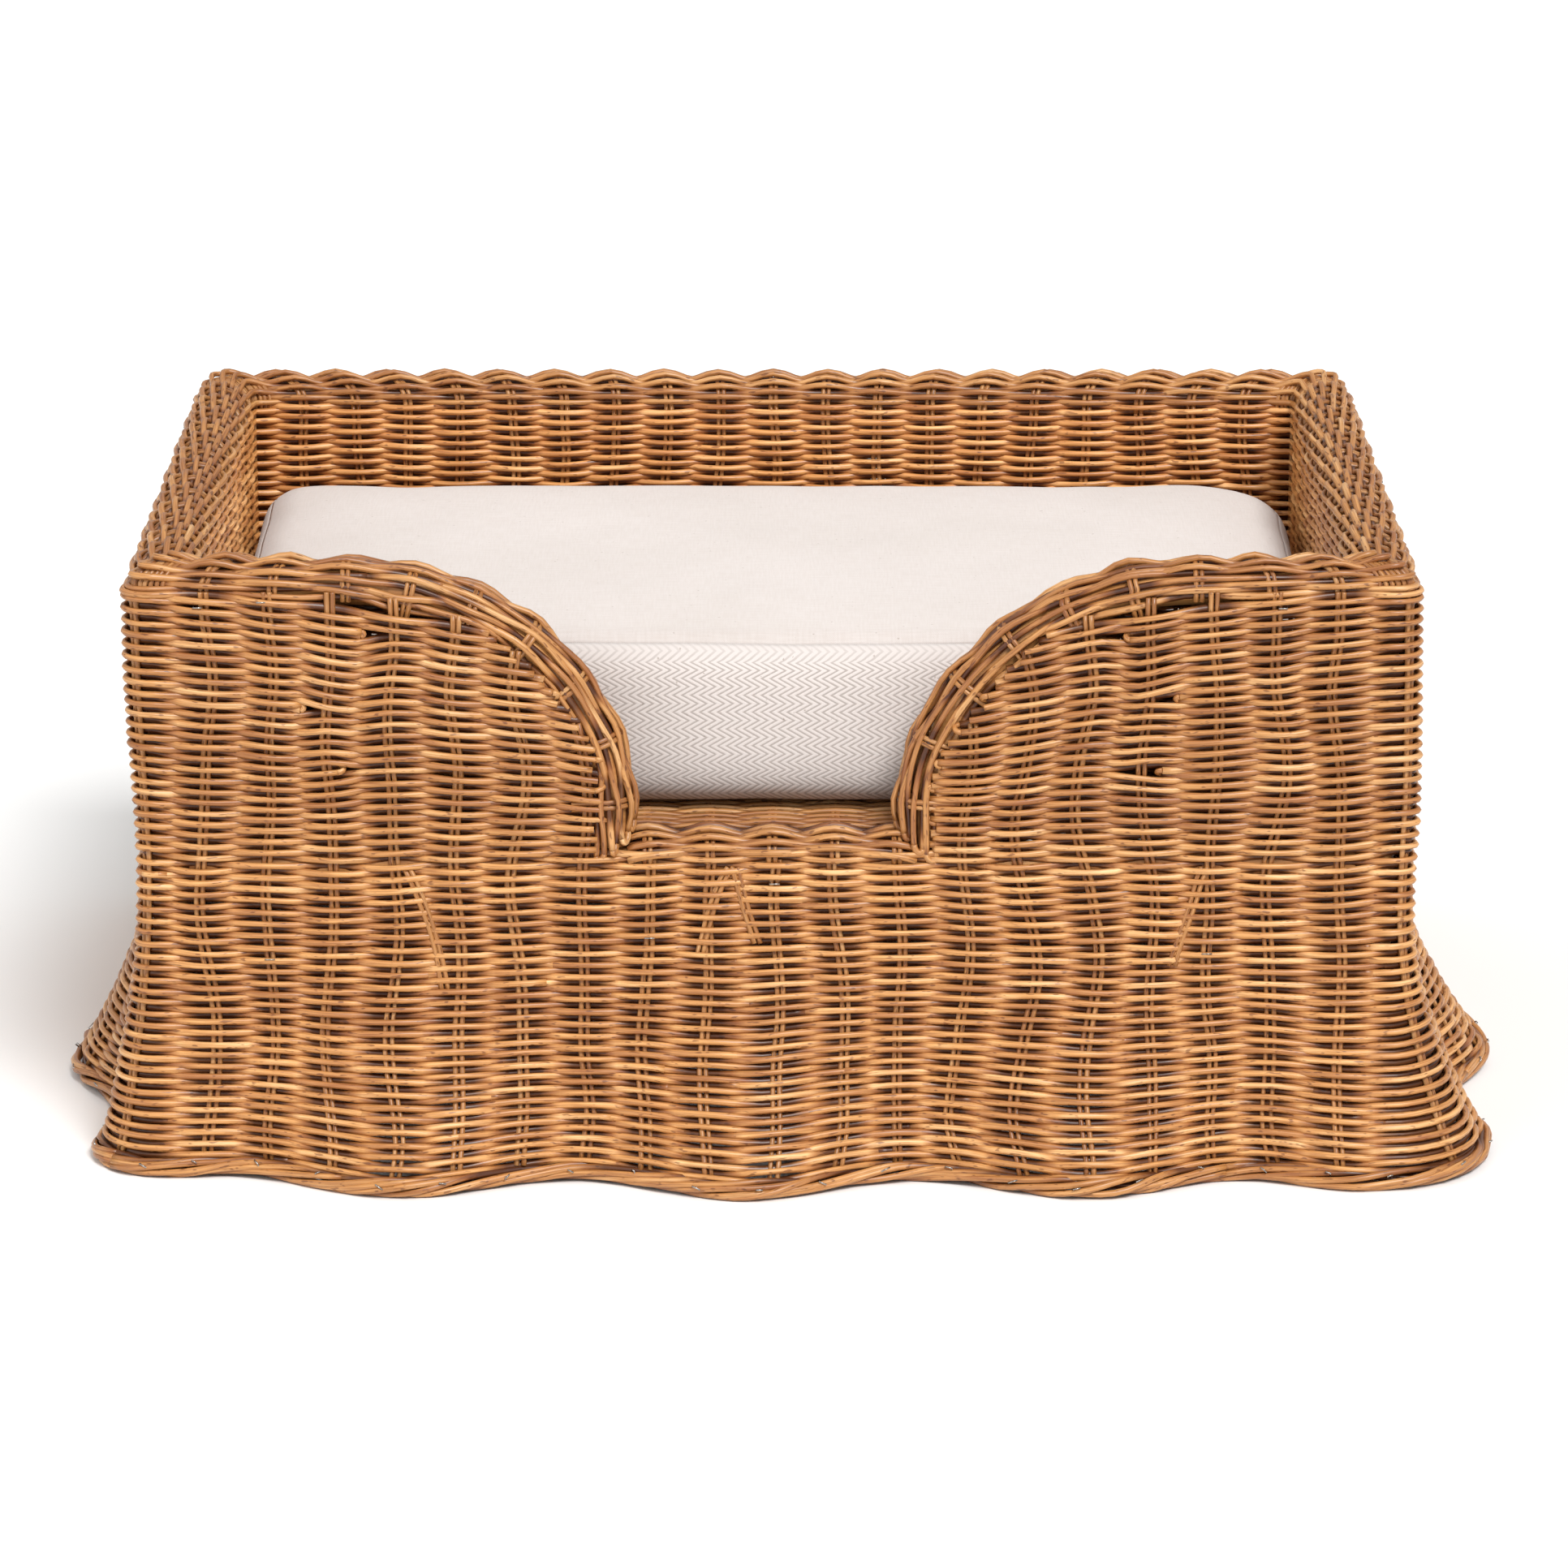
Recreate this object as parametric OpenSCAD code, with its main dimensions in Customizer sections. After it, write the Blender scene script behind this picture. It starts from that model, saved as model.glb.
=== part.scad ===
// Woven rattan pet bed: a pole frame between two woven skins, a flared skirt with a wavy hem,
// a low entrance in the front wall and a lift-out boxed cushion. Millimetres, +Z up.
// The origin is on the floor at the middle of the plan. The entrance faces -Y.

/* [Body above the waist] */
// Width over the outer skins
body_w = 700; // [560:10:860]
// Depth over the outer skins
body_d = 480; // [400:10:600]
// Height of the top of the rim
body_h = 345; // [290:5:440]
// Height of the waist, where the skirt starts
waist_h = 173; // [120:1:210]
// Height of the seat's top over the waist
seat_rise = 13; // [8:1:18]

/* [Frame poles and weave] */
// Diameter of every frame pole
pole_d = 22; // [16:0.5:27]
// Thickness of a woven skin
weave_t = 6; // [4:0.5:8]
// Gap between a pole and the skin laced over it
lacing_gap = 1; // [0.5:0.5:3]
// Thickness of the plastic glide under each post
glide_t = 4; // [2:0.5:8]
// Distance from the inner skin to the centre of the outer seat bearers
bearer_inset = 24; // [20:1:40]

/* [Entrance] */
// Clear width between the two wings at the sill
opening_w = 144; // [100:2:200]
// Width of the curve that each wing falls along
curve_w = 160; // [100:5:180]
// Straight upright below the curve, measured from the top of the sill
upright_h = 10; // [4:1:30]

/* [Skirt] */
// How far the hem stands out from the waist at the corners
flare_corner = 34; // [20:1:60]
// How far it stands out at the middle of each side, without the waves
flare_mid = 49; // [30:1:80]
// Half the in and out travel of the hem's waves
wave_amp = 15; // [0:1:20]
// Length of one wave along the hem
wave_pitch = 190; // [140:5:260]
// Power of the flare's profile: 1 is a straight cone, more keeps the top upright
flare_power = 2.2; // [1.2:0.1:3]
// Diameter of the twisted border along the hem
hem_d = 12; // [8:0.5:16]

/* [Cushion] */
// Gap between the cushion and the inner skin at each side
cushion_side_gap = 4; // [2:1:20]
// Gap between the cushion and the front wings
cushion_front_gap = 12; // [4:1:30]
// Gap behind the cushion, where the zip's pull swings
cushion_back_gap = 20; // [19:1:40]
// Corner radius of the cushion in plan
cushion_r = 40; // [20:1:80]
// Height of the upright side band
boxing_h = 88; // [60:1:120]
// Height of the rolled edge under the side band
roll_h = 9.5; // [6:0.5:14]
// Rise of the crown over the side band
crown_h = 6; // [3:0.5:20]
// Width of the slope from the side band to the flat of the crown
crown_slope = 60; // [30:1:90]
// Thickness of the quilted cover
cover_t = 3; // [2:0.5:5]
// Gap between the cushion and the seat
seat_gap = 0.5; // [0.3:0.1:2]

/* [Zip] */
// Length of the zip's tape
zip_len = 480; // [300:10:520]
// Width of the zip's tape
tape_w = 24; // [18:1:32]
// Thickness of the zip's tape
tape_t = 1; // [0.6:0.1:1.6]
// Width of the row of teeth
coil_w = 6; // [4:0.5:8]
// Height of the teeth over the tape
coil_t = 2; // [1.5:0.1:3]
// Length of the slider along the zip
slider_len = 12; // [9:0.5:16]
// Length of the pull from its pin to its tip
pull_len = 11.5; // [8:0.5:12]
// Running gap between the slider and the teeth
slider_gap = 0.35; // [0.3:0.05:0.6]
// Radial gap between the pull's barrel and its pin
pin_gap = 0.08; // [0.03:0.01:0.1]

/* [Hidden] */

rattan = [0.73, 0.50, 0.32];
pole_tone = [0.80, 0.62, 0.42];
steel = [0.72, 0.72, 0.73];
glide_tone = [0.22, 0.19, 0.17];
top_cloth = [0.94, 0.91, 0.89];
box_cloth = [0.86, 0.82, 0.79];
zip_tone = [0.80, 0.76, 0.72];

round_fn = 48;
eps = 1;

// The wall: a pole's width with a laced skin on each face
pole_r = pole_d / 2;
wall_t = pole_d + 2 * (weave_t + lacing_gap);
rim_r = wall_t / 2;
rim_z = body_h - rim_r;
half_w = body_w / 2;
half_d = body_d / 2;
post_x = half_w - rim_r;
post_y = half_d - rim_r;
inner_x = half_w - wall_t;
inner_y = half_d - wall_t;

// The seat: bearers on rails, with the woven seat on top
seat_top = waist_h + seat_rise;
seat_low = seat_top - weave_t;
seat_rail_z = seat_low - pole_r;
sill_top = waist_h + rim_r;
bearer_count = 4;
bearer_span = inner_x - bearer_inset;

// The wing's edge: level along the rim, round a quarter of an ellipse, then straight down
edge_x = opening_w / 2 + rim_r;
curve_x = opening_w / 2 + curve_w;
curve_z = sill_top + upright_h;
curve_a = curve_w - rim_r;
curve_b = rim_z - curve_z;
curve_steps = 20;

// Nails are sunk just under the surface of the pole they enter
nail_len = 40;
nail_d = 2.5;
nail_head_d = 5;
nail_head_t = 1;
nail_sink = 1.5;

// The skirt and its hem
corner_r = rim_r;
corner_steps = 3;
side_steps = 32;
skirt_steps = 6;
hem_r = hem_d / 2;
hem_sides = 8;
front_phase = -16;
side_phase = -65;
staple_w = 10;
staple_t = 1.2;
staple_leg = 5;
staple_pitch = 100;

// The cushion and its zip
cushion_low = seat_top + seat_gap;
box_low = cushion_low + roll_h;
box_high = box_low + boxing_h;
cushion_top = box_high + crown_h;
cushion_w = 2 * (inner_x - cushion_side_gap);
cushion_d = 2 * inner_y - cushion_front_gap - cushion_back_gap;
cushion_y = (cushion_front_gap - cushion_back_gap) / 2;
cushion_back = cushion_y + cushion_d / 2;
layer_t = 0.5;
zip_z = box_low + boxing_h / 2;
coil_y = cushion_back + tape_t;
slider_y = coil_y + coil_t + slider_gap;
slider_t = 1.5;
flange_t = 1.1;
barrel_r = 1.6;
pin_r = 0.8;
barrel_w = 5;
lug_t = 1.4;
lug_gap = 0.2;
pull_t = 1;
pull_y = slider_y + slider_t + barrel_r + slider_gap;

// A solid through a list of rings. Every ring has the same even number of points.
module loft(rings) {
  n = len(rings[0]);
  last = (len(rings) - 1) * n;
  walls = [
    for (j = [0 : len(rings) - 2], k = [0 : n - 1])
      let (a = j * n + k, b = j * n + (k + 1) % n)
        each [[a, b + n, b], [a, a + n, b + n]]
  ];
  ends = [
    for (k = [0 : n / 2 - 2])
      let (a = k, b = k + 1, c = n - 2 - k, d = n - 1 - k)
        each [[a, b, c], [a, c, d], [last + a, last + c, last + b], [last + a, last + d, last + c]]
  ];
  polyhedron(points = [for (ring = rings) each ring], faces = concat(walls, ends), convexity = 8);
}

module both_sides() {
  children();
  mirror([1, 0, 0]) children();
}

module pole(length) {
  cylinder(d = pole_d, h = length, center = true, $fn = round_fn);
}

// A round bar along Y
module edge_bar(length, radius) {
  rotate([90, 0, 0]) cylinder(r = radius, h = length, center = true, $fn = round_fn);
}

// ---- frame ----

module foot_glide(sx, sy) {
  color(glide_tone) translate([sx * post_x, sy * post_y, 0])
    cylinder(d = pole_d - 2, h = glide_t, $fn = round_fn);
}

module post(sx, sy) {
  post_len = rim_z - pole_r - glide_t;
  color(pole_tone) translate([sx * post_x, sy * post_y, glide_t + post_len / 2]) pole(post_len);
}

module seat_rail_across(sy) {
  color(pole_tone) translate([0, sy * post_y, seat_rail_z])
    rotate([0, 90, 0]) pole(2 * (post_x - pole_r));
}

module seat_rail_along(sx) {
  color(pole_tone) translate([sx * post_x, 0, seat_rail_z])
    rotate([90, 0, 0]) pole(2 * (post_y - pole_r));
}

function bearer_x(i) = -bearer_span + 2 * bearer_span * (i - 1) / (bearer_count - 1);

module seat_bearer(i) {
  color(pole_tone) translate([bearer_x(i), 0, seat_rail_z])
    rotate([90, 0, 0]) pole(2 * (post_y - pole_r));
}

module top_rail_side(sx) {
  color(pole_tone) translate([sx * post_x, 0, rim_z]) {
    rotate([90, 0, 0]) pole(2 * post_y);
    for (sy = [-1, 1]) translate([0, sy * post_y, 0]) sphere(d = pole_d, $fn = round_fn);
  }
}

module top_rail_back() {
  color(pole_tone) translate([0, post_y, rim_z]) rotate([0, 90, 0]) pole(2 * (post_x - pole_r));
}

// Stations along the left wing's edge, each [x, z, normal x, normal z]
function wing_path(start_x, end_z) = concat(
  [[start_x, rim_z, 0, 1]],
  [
    for (i = [0 : curve_steps])
      let (
        t = 90 * i / curve_steps,
        n = [curve_b * sin(t), curve_a * cos(t)]
      )
        [curve_a * sin(t) - curve_x, curve_z + curve_b * cos(t), n[0] / norm(n), n[1] / norm(n)]
  ],
  [[-edge_x, end_z, 1, 0]]
);

function wing_point(s, radius, turn) = [
  s[0] + radius * cos(turn) * s[2],
  radius * sin(turn) - post_y,
  s[1] + radius * cos(turn) * s[3]
];

module wing_rail() {
  color(pole_tone) loft([
    for (s = wing_path(pole_r - post_x, seat_rail_z + pole_r))
      [for (k = [0 : 11]) wing_point(s, pole_r, 30 * k)]
  ]);
}

module nail() {
  translate([0, 0, -nail_len]) cylinder(d = nail_d, h = nail_len, $fn = 24);
  translate([0, 0, -nail_head_t]) cylinder(d = nail_head_d, h = nail_head_t, $fn = 24);
}

module frame_nails() {
  reach = pole_r - nail_sink;
  nail_step = 5;
  color(steel) {
    both_sides() {
      for (sy = [-1, 1]) {
        translate([post_x, sy * (post_y - nail_step), rim_z + reach]) nail();
        translate([post_x + reach, sy * post_y, rim_z]) rotate([0, 90, 0]) nail();
        translate([post_x + reach, sy * post_y, seat_rail_z + nail_step]) rotate([0, 90, 0]) nail();
        translate([post_x, sy * (post_y + reach), seat_rail_z - nail_step])
          rotate([-90 * sy, 0, 0]) nail();
      }
      translate([edge_x, -post_y, seat_rail_z - reach]) rotate([180, 0, 0]) nail();
    }
    for (i = [1 : bearer_count], sy = [-1, 1])
      translate([bearer_x(i), sy * (post_y + reach), seat_rail_z]) rotate([-90 * sy, 0, 0]) nail();
  }
}

// ---- woven skins ----

module corner_shell(x, y, turn) {
  translate([x, y, waist_h]) rotate([0, 0, turn])
    rotate_extrude(angle = 90, $fn = round_fn)
      translate([rim_r - weave_t, 0]) square([weave_t, rim_z - waist_h]);
}

module outer_weave_side(sx) {
  color(rattan) translate([sx > 0 ? half_w - weave_t : -half_w, -post_y, waist_h])
    cube([weave_t, 2 * post_y, rim_z - waist_h]);
}

module outer_weave_back() {
  color(rattan) {
    translate([-post_x, half_d - weave_t, waist_h]) cube([2 * post_x, weave_t, rim_z - waist_h]);
    corner_shell(post_x, post_y, 0);
    corner_shell(-post_x, post_y, 90);
  }
}

// The flat of a left wing, from x to the centre line of its border
module wing_plate(x, low_z, y) {
  steps = [for (s = wing_path(x, low_z)) [s[0], s[1]]];
  translate([0, y + weave_t, 0]) rotate([90, 0, 0])
    linear_extrude(height = weave_t) polygon(concat([[x, low_z]], steps));
}

module outer_weave_front() {
  color(rattan) {
    wing_plate(-post_x, waist_h, -half_d);
    corner_shell(-post_x, -post_y, 180);
  }
}

module inner_weave_side(sx) {
  color(rattan) translate([sx > 0 ? inner_x : -inner_x - weave_t, -inner_y, seat_low])
    cube([weave_t, 2 * inner_y, rim_z - seat_low]);
}

module inner_weave_back() {
  color(rattan) translate([-inner_x - weave_t, inner_y, seat_low])
    cube([2 * (inner_x + weave_t), weave_t, rim_z - seat_low]);
}

module inner_weave_front() {
  color(rattan) wing_plate(-inner_x - weave_t, seat_low, -inner_y - weave_t);
}

// Half a tube along Y, open below
module rim_run(length) {
  difference() {
    edge_bar(length, rim_r);
    edge_bar(length + eps, rim_r - weave_t);
    translate([-rim_r - eps, -length, -rim_r - eps]) cube([wall_t + 2 * eps, 2 * length, rim_r + eps]);
  }
}

// A solid corner with one leg along +X and one along +Y
module elbow(radius, leg) {
  sphere(r = radius, $fn = round_fn);
  translate([0, leg / 2, 0]) edge_bar(leg, radius);
  translate([leg / 2, 0, 0]) rotate([0, 0, 90]) edge_bar(leg, radius);
}

module rim_corner() {
  difference() {
    elbow(rim_r, rim_r);
    elbow(rim_r - weave_t, rim_r + eps);
    translate([-wall_t, -wall_t, -wall_t]) cube([2 * wall_t, 2 * wall_t, wall_t]);
  }
}

module rim_weave_side() {
  color(rattan) {
    translate([-post_x, 0, rim_z]) rim_run(2 * inner_y);
    translate([-post_x, -post_y, rim_z]) rim_corner();
  }
}

module rim_weave_back() {
  color(rattan) {
    translate([0, post_y, rim_z]) rotate([0, 0, 90]) rim_run(2 * inner_x);
    both_sides() translate([-post_x, post_y, rim_z]) rotate([0, 0, -90]) rim_corner();
  }
}

// The inner leg of the border stops on the bearers, level with the bottom of the seat
module clear_of_bearers() {
  difference() {
    children();
    translate([-half_w, -post_y, waist_h - eps]) cube([body_w, rim_r + eps, seat_low - waist_h + eps]);
  }
}

module wing_border() {
  section = [for (k = [0 : 8]) 22.5 * k - 90];
  color(rattan) clear_of_bearers() difference() {
    loft([
      for (s = wing_path(-inner_x, waist_h))
        concat(
          [for (turn = section) wing_point(s, rim_r, turn)],
          [for (k = [8 : -1 : 0]) wing_point(s, rim_r - weave_t, section[k])]
        )
    ]);
    // the border's foot is notched over the front seat rail
    translate([0, -post_y, seat_rail_z]) rotate([0, 90, 0])
      cylinder(r = pole_r + lacing_gap, h = body_w, center = true, $fn = round_fn);
  }
}

module sill_weave() {
  color(rattan) clear_of_bearers() intersection() {
    translate([0, -post_y, waist_h]) rotate([0, 0, 90]) difference() {
      edge_bar(opening_w, rim_r);
      edge_bar(opening_w + eps, rim_r - weave_t);
    }
    translate([-half_w, -half_d - eps, waist_h]) cube([body_w, wall_t + 2 * eps, body_h]);
  }
}

module seat_weave() {
  color(rattan) translate([-inner_x, -inner_y, seat_low]) cube([2 * inner_x, 2 * inner_y, weave_t]);
}

// ---- skirt and hem ----

// Stations along one side, from corner to corner. The side faces +Y.
// Each is [along, outward, normal along, normal outward, place from -1 to 1 on the straight]
function side_path(half_len, half_out) = concat(
  [
    for (i = [0 : corner_steps])
      let (a = 45 * i / corner_steps - 45)
        [corner_r * (1 + sin(a)) - half_len, half_out - corner_r * (1 - cos(a)), sin(a), cos(a), -1]
  ],
  [
    for (i = [1 : side_steps - 1])
      let (u = 2 * i / side_steps - 1)
        [u * (half_len - corner_r), half_out, 0, 1, u]
  ],
  [
    for (i = [0 : corner_steps])
      let (a = 45 * i / corner_steps)
        [half_len - corner_r * (1 - sin(a)), half_out - corner_r * (1 - cos(a)), sin(a), cos(a), 1]
  ]
);

// How far the skirt stands out at station s, a share v of the way down
function flare(s, v, phase) =
  pow(v, flare_power) * (flare_corner + (flare_mid - flare_corner) * (1 - pow(abs(s[4]), 3)))
  + pow(v, 2) * wave_amp * (1 - pow(s[4], 6)) * cos(360 * (s[0] - phase) / wave_pitch);

function skirt_point(s, v, phase, inset) =
  let (out = flare(s, v, phase) - inset)
    [s[0] + out * s[2], s[1] + out * s[3], waist_h - v * (waist_h - hem_d)];

module skirt(half_len, half_out, phase) {
  path = side_path(half_len, half_out);
  last = len(path) - 1;
  color(rattan) loft([
    for (j = [0 : skirt_steps])
      let (v = j / skirt_steps)
        concat(
          [for (s = path) skirt_point(s, v, phase, 0)],
          [for (i = [last : -1 : 0]) skirt_point(path[i], v, phase, weave_t)]
        )
  ]);
}

module hem_border(half_len, half_out, phase) {
  color(rattan) loft([
    for (s = side_path(half_len, half_out))
      let (out = flare(s, 1, phase) - hem_r)
        [
          for (k = [0 : hem_sides - 1])
            let (turn = 360 * (k + 0.5) / hem_sides, reach = out + hem_r * sin(turn))
              [s[0] + reach * s[2], s[1] + reach * s[3], hem_r - hem_r * cos(turn) / cos(180 / hem_sides)]
        ]
  ]);
}

module staple() {
  translate([-staple_w / 2, -staple_t, -staple_t / 2]) cube([staple_w, staple_t, staple_t]);
  for (sx = [-1, 1])
    translate([sx * (staple_w - staple_t) / 2 - staple_t / 2, -staple_leg, -staple_t / 2])
      cube([staple_t, staple_leg, staple_t]);
}

module staple_row(half_len, half_out, phase) {
  count = floor((half_len - corner_r) / staple_pitch);
  for (i = [-count : count]) {
    along = i * staple_pitch;
    s = [along, half_out, 0, 1, along / (half_len - corner_r)];
    slope = [for (d = [-eps, eps]) flare([along + d, half_out, 0, 1, s[4]], 1, phase)];
    translate([along, half_out + flare(s, 1, phase), hem_r])
      rotate([0, 0, atan2(slope[1] - slope[0], 2 * eps)]) staple();
  }
}

module hem_staples() {
  color(steel) {
    rotate([0, 0, 180]) staple_row(half_w, half_d, -front_phase);
    staple_row(half_w, half_d, front_phase);
    rotate([0, 0, 90]) staple_row(half_d, half_w, side_phase);
    rotate([0, 0, -90]) staple_row(half_d, half_w, -side_phase);
  }
}

// ---- cushion ----

module pad_layer(inset, z) {
  w = cushion_w - 2 * inset;
  d = cushion_d - 2 * inset;
  r = max(cushion_r - inset, 4);
  translate([0, cushion_y, z]) linear_extrude(height = layer_t) hull()
    for (sx = [-1, 1], sy = [-1, 1])
      translate([sx * (w / 2 - r), sy * (d / 2 - r)]) circle(r = r, $fn = 32);
}

// The cushion's outer form, drawn in by a cover's thickness for the fill
module pad_form(inset) {
  hull() {
    pad_layer(roll_h + inset, cushion_low + inset);
    pad_layer(inset, box_low);
    pad_layer(inset, box_high - layer_t);
    pad_layer(crown_slope + inset, cushion_top - layer_t - inset);
  }
}

module cover_band(low, high) {
  intersection() {
    difference() {
      pad_form(0);
      pad_form(cover_t);
    }
    translate([-body_w, -body_d, low]) cube([2 * body_w, 2 * body_d, high - low]);
  }
}

module cushion_fill() {
  color(top_cloth) pad_form(cover_t);
}

module cushion_top_panel() {
  color(top_cloth) cover_band(box_high, cushion_top + eps);
}

module cushion_boxing() {
  color(box_cloth) cover_band(box_low, box_high);
}

module cushion_bottom_panel() {
  color(box_cloth) cover_band(cushion_low - eps, box_low);
}

module zip_tape() {
  color(zip_tone) translate([-zip_len / 2, cushion_back, zip_z - tape_w / 2])
    cube([zip_len, tape_t, tape_w]);
}

module zip_coil() {
  color(box_cloth) translate([-zip_len / 2, coil_y, zip_z - coil_w / 2])
    cube([zip_len, coil_t, coil_w]);
}

// The slider stands at the left end of the zip, round the teeth, with two lugs for the pin
slider_x = slider_len - zip_len / 2;

module zip_slider() {
  half_z = coil_w / 2 + slider_gap;
  color(steel) translate([slider_x, 0, zip_z]) {
    translate([-slider_len / 2, slider_y, -half_z - flange_t])
      cube([slider_len, slider_t, 2 * (half_z + flange_t)]);
    for (sz = [0, 1]) mirror([0, 0, sz]) {
      translate([-slider_len / 2, coil_y + slider_gap, half_z])
        cube([slider_len, slider_y - coil_y, flange_t]);
      translate([-barrel_r, slider_y, barrel_w / 2 + lug_gap])
        cube([2 * barrel_r, pull_y - slider_y + pin_r + lug_gap, lug_t]);
    }
    translate([0, pull_y, 0]) cylinder(r = pin_r, h = barrel_w + lug_t, center = true, $fn = 32);
  }
}

module zip_pull() {
  color(steel) translate([slider_x, pull_y, zip_z]) difference() {
    union() {
      cylinder(r = barrel_r, h = barrel_w, center = true, $fn = 32);
      translate([0, -pull_t / 2, -barrel_w / 2]) cube([pull_len, pull_t, barrel_w]);
    }
    cylinder(r = pin_r + pin_gap, h = barrel_w + eps, center = true, $fn = 32);
  }
}

foot_glide(-1, -1);  // foot_glide_front_left
foot_glide(1, -1);  // foot_glide_front_right
foot_glide(-1, 1);  // foot_glide_back_left
foot_glide(1, 1);  // foot_glide_back_right
post(-1, -1);  // post_front_left
post(1, -1);  // post_front_right
post(-1, 1);  // post_back_left
post(1, 1);  // post_back_right
seat_rail_across(-1);  // seat_rail_front
seat_rail_across(1);  // seat_rail_back
seat_rail_along(-1);  // seat_rail_left
seat_rail_along(1);  // seat_rail_right
seat_bearer(1);  // seat_bearer_1
seat_bearer(2);  // seat_bearer_2
seat_bearer(3);  // seat_bearer_3
seat_bearer(4);  // seat_bearer_4
top_rail_side(-1);  // top_rail_left
top_rail_side(1);  // top_rail_right
top_rail_back();
wing_rail();  // wing_rail_left
mirror([1, 0, 0]) wing_rail();  // wing_rail_right
frame_nails();
outer_weave_side(-1);  // outer_weave_left
outer_weave_side(1);  // outer_weave_right
outer_weave_back();
outer_weave_front();  // outer_weave_front_left
mirror([1, 0, 0]) outer_weave_front();  // outer_weave_front_right
inner_weave_side(-1);  // inner_weave_left
inner_weave_side(1);  // inner_weave_right
inner_weave_back();
inner_weave_front();  // inner_weave_front_left
mirror([1, 0, 0]) inner_weave_front();  // inner_weave_front_right
rim_weave_side();  // rim_weave_left
mirror([1, 0, 0]) rim_weave_side();  // rim_weave_right
rim_weave_back();
wing_border();  // wing_border_left
mirror([1, 0, 0]) wing_border();  // wing_border_right
sill_weave();
seat_weave();
rotate([0, 0, 180]) skirt(half_w, half_d, -front_phase);  // skirt_front
skirt(half_w, half_d, front_phase);  // skirt_back
rotate([0, 0, 90]) skirt(half_d, half_w, side_phase);  // skirt_left
rotate([0, 0, -90]) skirt(half_d, half_w, -side_phase);  // skirt_right
rotate([0, 0, 180]) hem_border(half_w, half_d, -front_phase);  // hem_border_front
hem_border(half_w, half_d, front_phase);  // hem_border_back
rotate([0, 0, 90]) hem_border(half_d, half_w, side_phase);  // hem_border_left
rotate([0, 0, -90]) hem_border(half_d, half_w, -side_phase);  // hem_border_right
hem_staples();
cushion_fill();
cushion_top_panel();
cushion_boxing();
cushion_bottom_panel();
zip_tape();
zip_coil();
zip_slider();
zip_pull();
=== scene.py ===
# Woven rattan pet bed: rows of core woven round stake pairs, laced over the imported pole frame
import math
import random
import bpy
import bmesh
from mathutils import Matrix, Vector, noise


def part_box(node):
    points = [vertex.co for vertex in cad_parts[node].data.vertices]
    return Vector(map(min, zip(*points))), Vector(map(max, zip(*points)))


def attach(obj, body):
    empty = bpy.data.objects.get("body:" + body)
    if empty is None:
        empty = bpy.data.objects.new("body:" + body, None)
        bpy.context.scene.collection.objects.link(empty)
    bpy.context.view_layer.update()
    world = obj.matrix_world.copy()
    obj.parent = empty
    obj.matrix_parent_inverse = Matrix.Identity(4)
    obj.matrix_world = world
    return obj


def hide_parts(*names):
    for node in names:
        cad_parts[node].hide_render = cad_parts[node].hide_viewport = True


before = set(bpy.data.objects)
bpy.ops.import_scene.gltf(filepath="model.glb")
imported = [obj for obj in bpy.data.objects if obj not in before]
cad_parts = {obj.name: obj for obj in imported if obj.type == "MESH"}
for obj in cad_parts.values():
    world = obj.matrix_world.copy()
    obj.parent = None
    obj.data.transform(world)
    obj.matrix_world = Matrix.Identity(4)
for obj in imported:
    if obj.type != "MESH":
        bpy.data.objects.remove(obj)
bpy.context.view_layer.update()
mm = 0.001
up = Vector((0, 0, 1))

outerBox = [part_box("outer_weave_back"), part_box("outer_weave_left")]
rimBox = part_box("rim_weave_left")
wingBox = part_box("wing_border_left")

basket = {
    "halfWide": -outerBox[1][0].x,  # outer skins, from the frame
    "halfDeep": outerBox[0][1].y,
    "waist": outerBox[1][0].z,
    "rimLine": outerBox[1][1].z,
    "seatTop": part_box("seat_weave")[1].z,
    "rimRound": rimBox[1].z - rimBox[0].z,
    "cornerRound": 13 * mm,
    "insideRound": 4 * mm,  # smallest corner of an inner row
    "gapsAcross": 20,  # stake gaps along the front and the back
    "gapsAlong": 14,  # stake gaps along each side
    "stakePlane": 4.9 * mm,  # depth of the stakes under the outer face
    "leanLow": -1.5 * mm,  # how far the outer wall stands out at the waist
    "leanHigh": 2.5 * mm,  # and under the rim
    "leanRise": 110 * mm,
    "wander": 0.34,  # most a stake leans, in gaps
    "calm": (60 * mm, 40 * mm),  # heights under the rim and over the floor where the leaning fades
    "drift": 2.4 * mm,  # slow rise and fall that neighbouring rows share
    "cornerRise": 3.2 * mm,  # how much the rows climb at the corners
    "cornerReach": 24 * mm,
    "endProud": 3.5 * mm,  # how far both ends stand out past the frame
    "proudRise": 70 * mm,
    "rightBulge": 5.5 * mm,  # extra bulge of the right end above the waist
    "bulgeAt": 20 * mm,  # its height over the waist
    "bulgeTall": 62 * mm,
}
skirtShape = {
    "corner": 34 * mm,  # how far the hem stands out from the waist at the corners
    "middle": 49 * mm,  # and at the middle of a side, without the waves
    "wave": 15 * mm,
    "waveLength": 190 * mm,
    "rearWave": 330 * mm,  # the ends' wave is longer behind its crest
    "leftTuck": 11 * mm,  # the left end stands out less
    "acrossPhase": -16 * mm,  # where a crest falls on the long sides
    "alongPhase": (-84 * mm, -65 * mm),  # and on the left and right ends
    "profile": 2.2,  # power of the flare, 1 is a straight cone
    "hem": 12 * mm,
    "cornerExtra": (-8 * mm, 13 * mm),  # the front left and front right corners differ
    "extraFrom": (0.24, 0.12),  # where those start, in x and y
    "extraOver": (0.1, 0.11),
}
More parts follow.
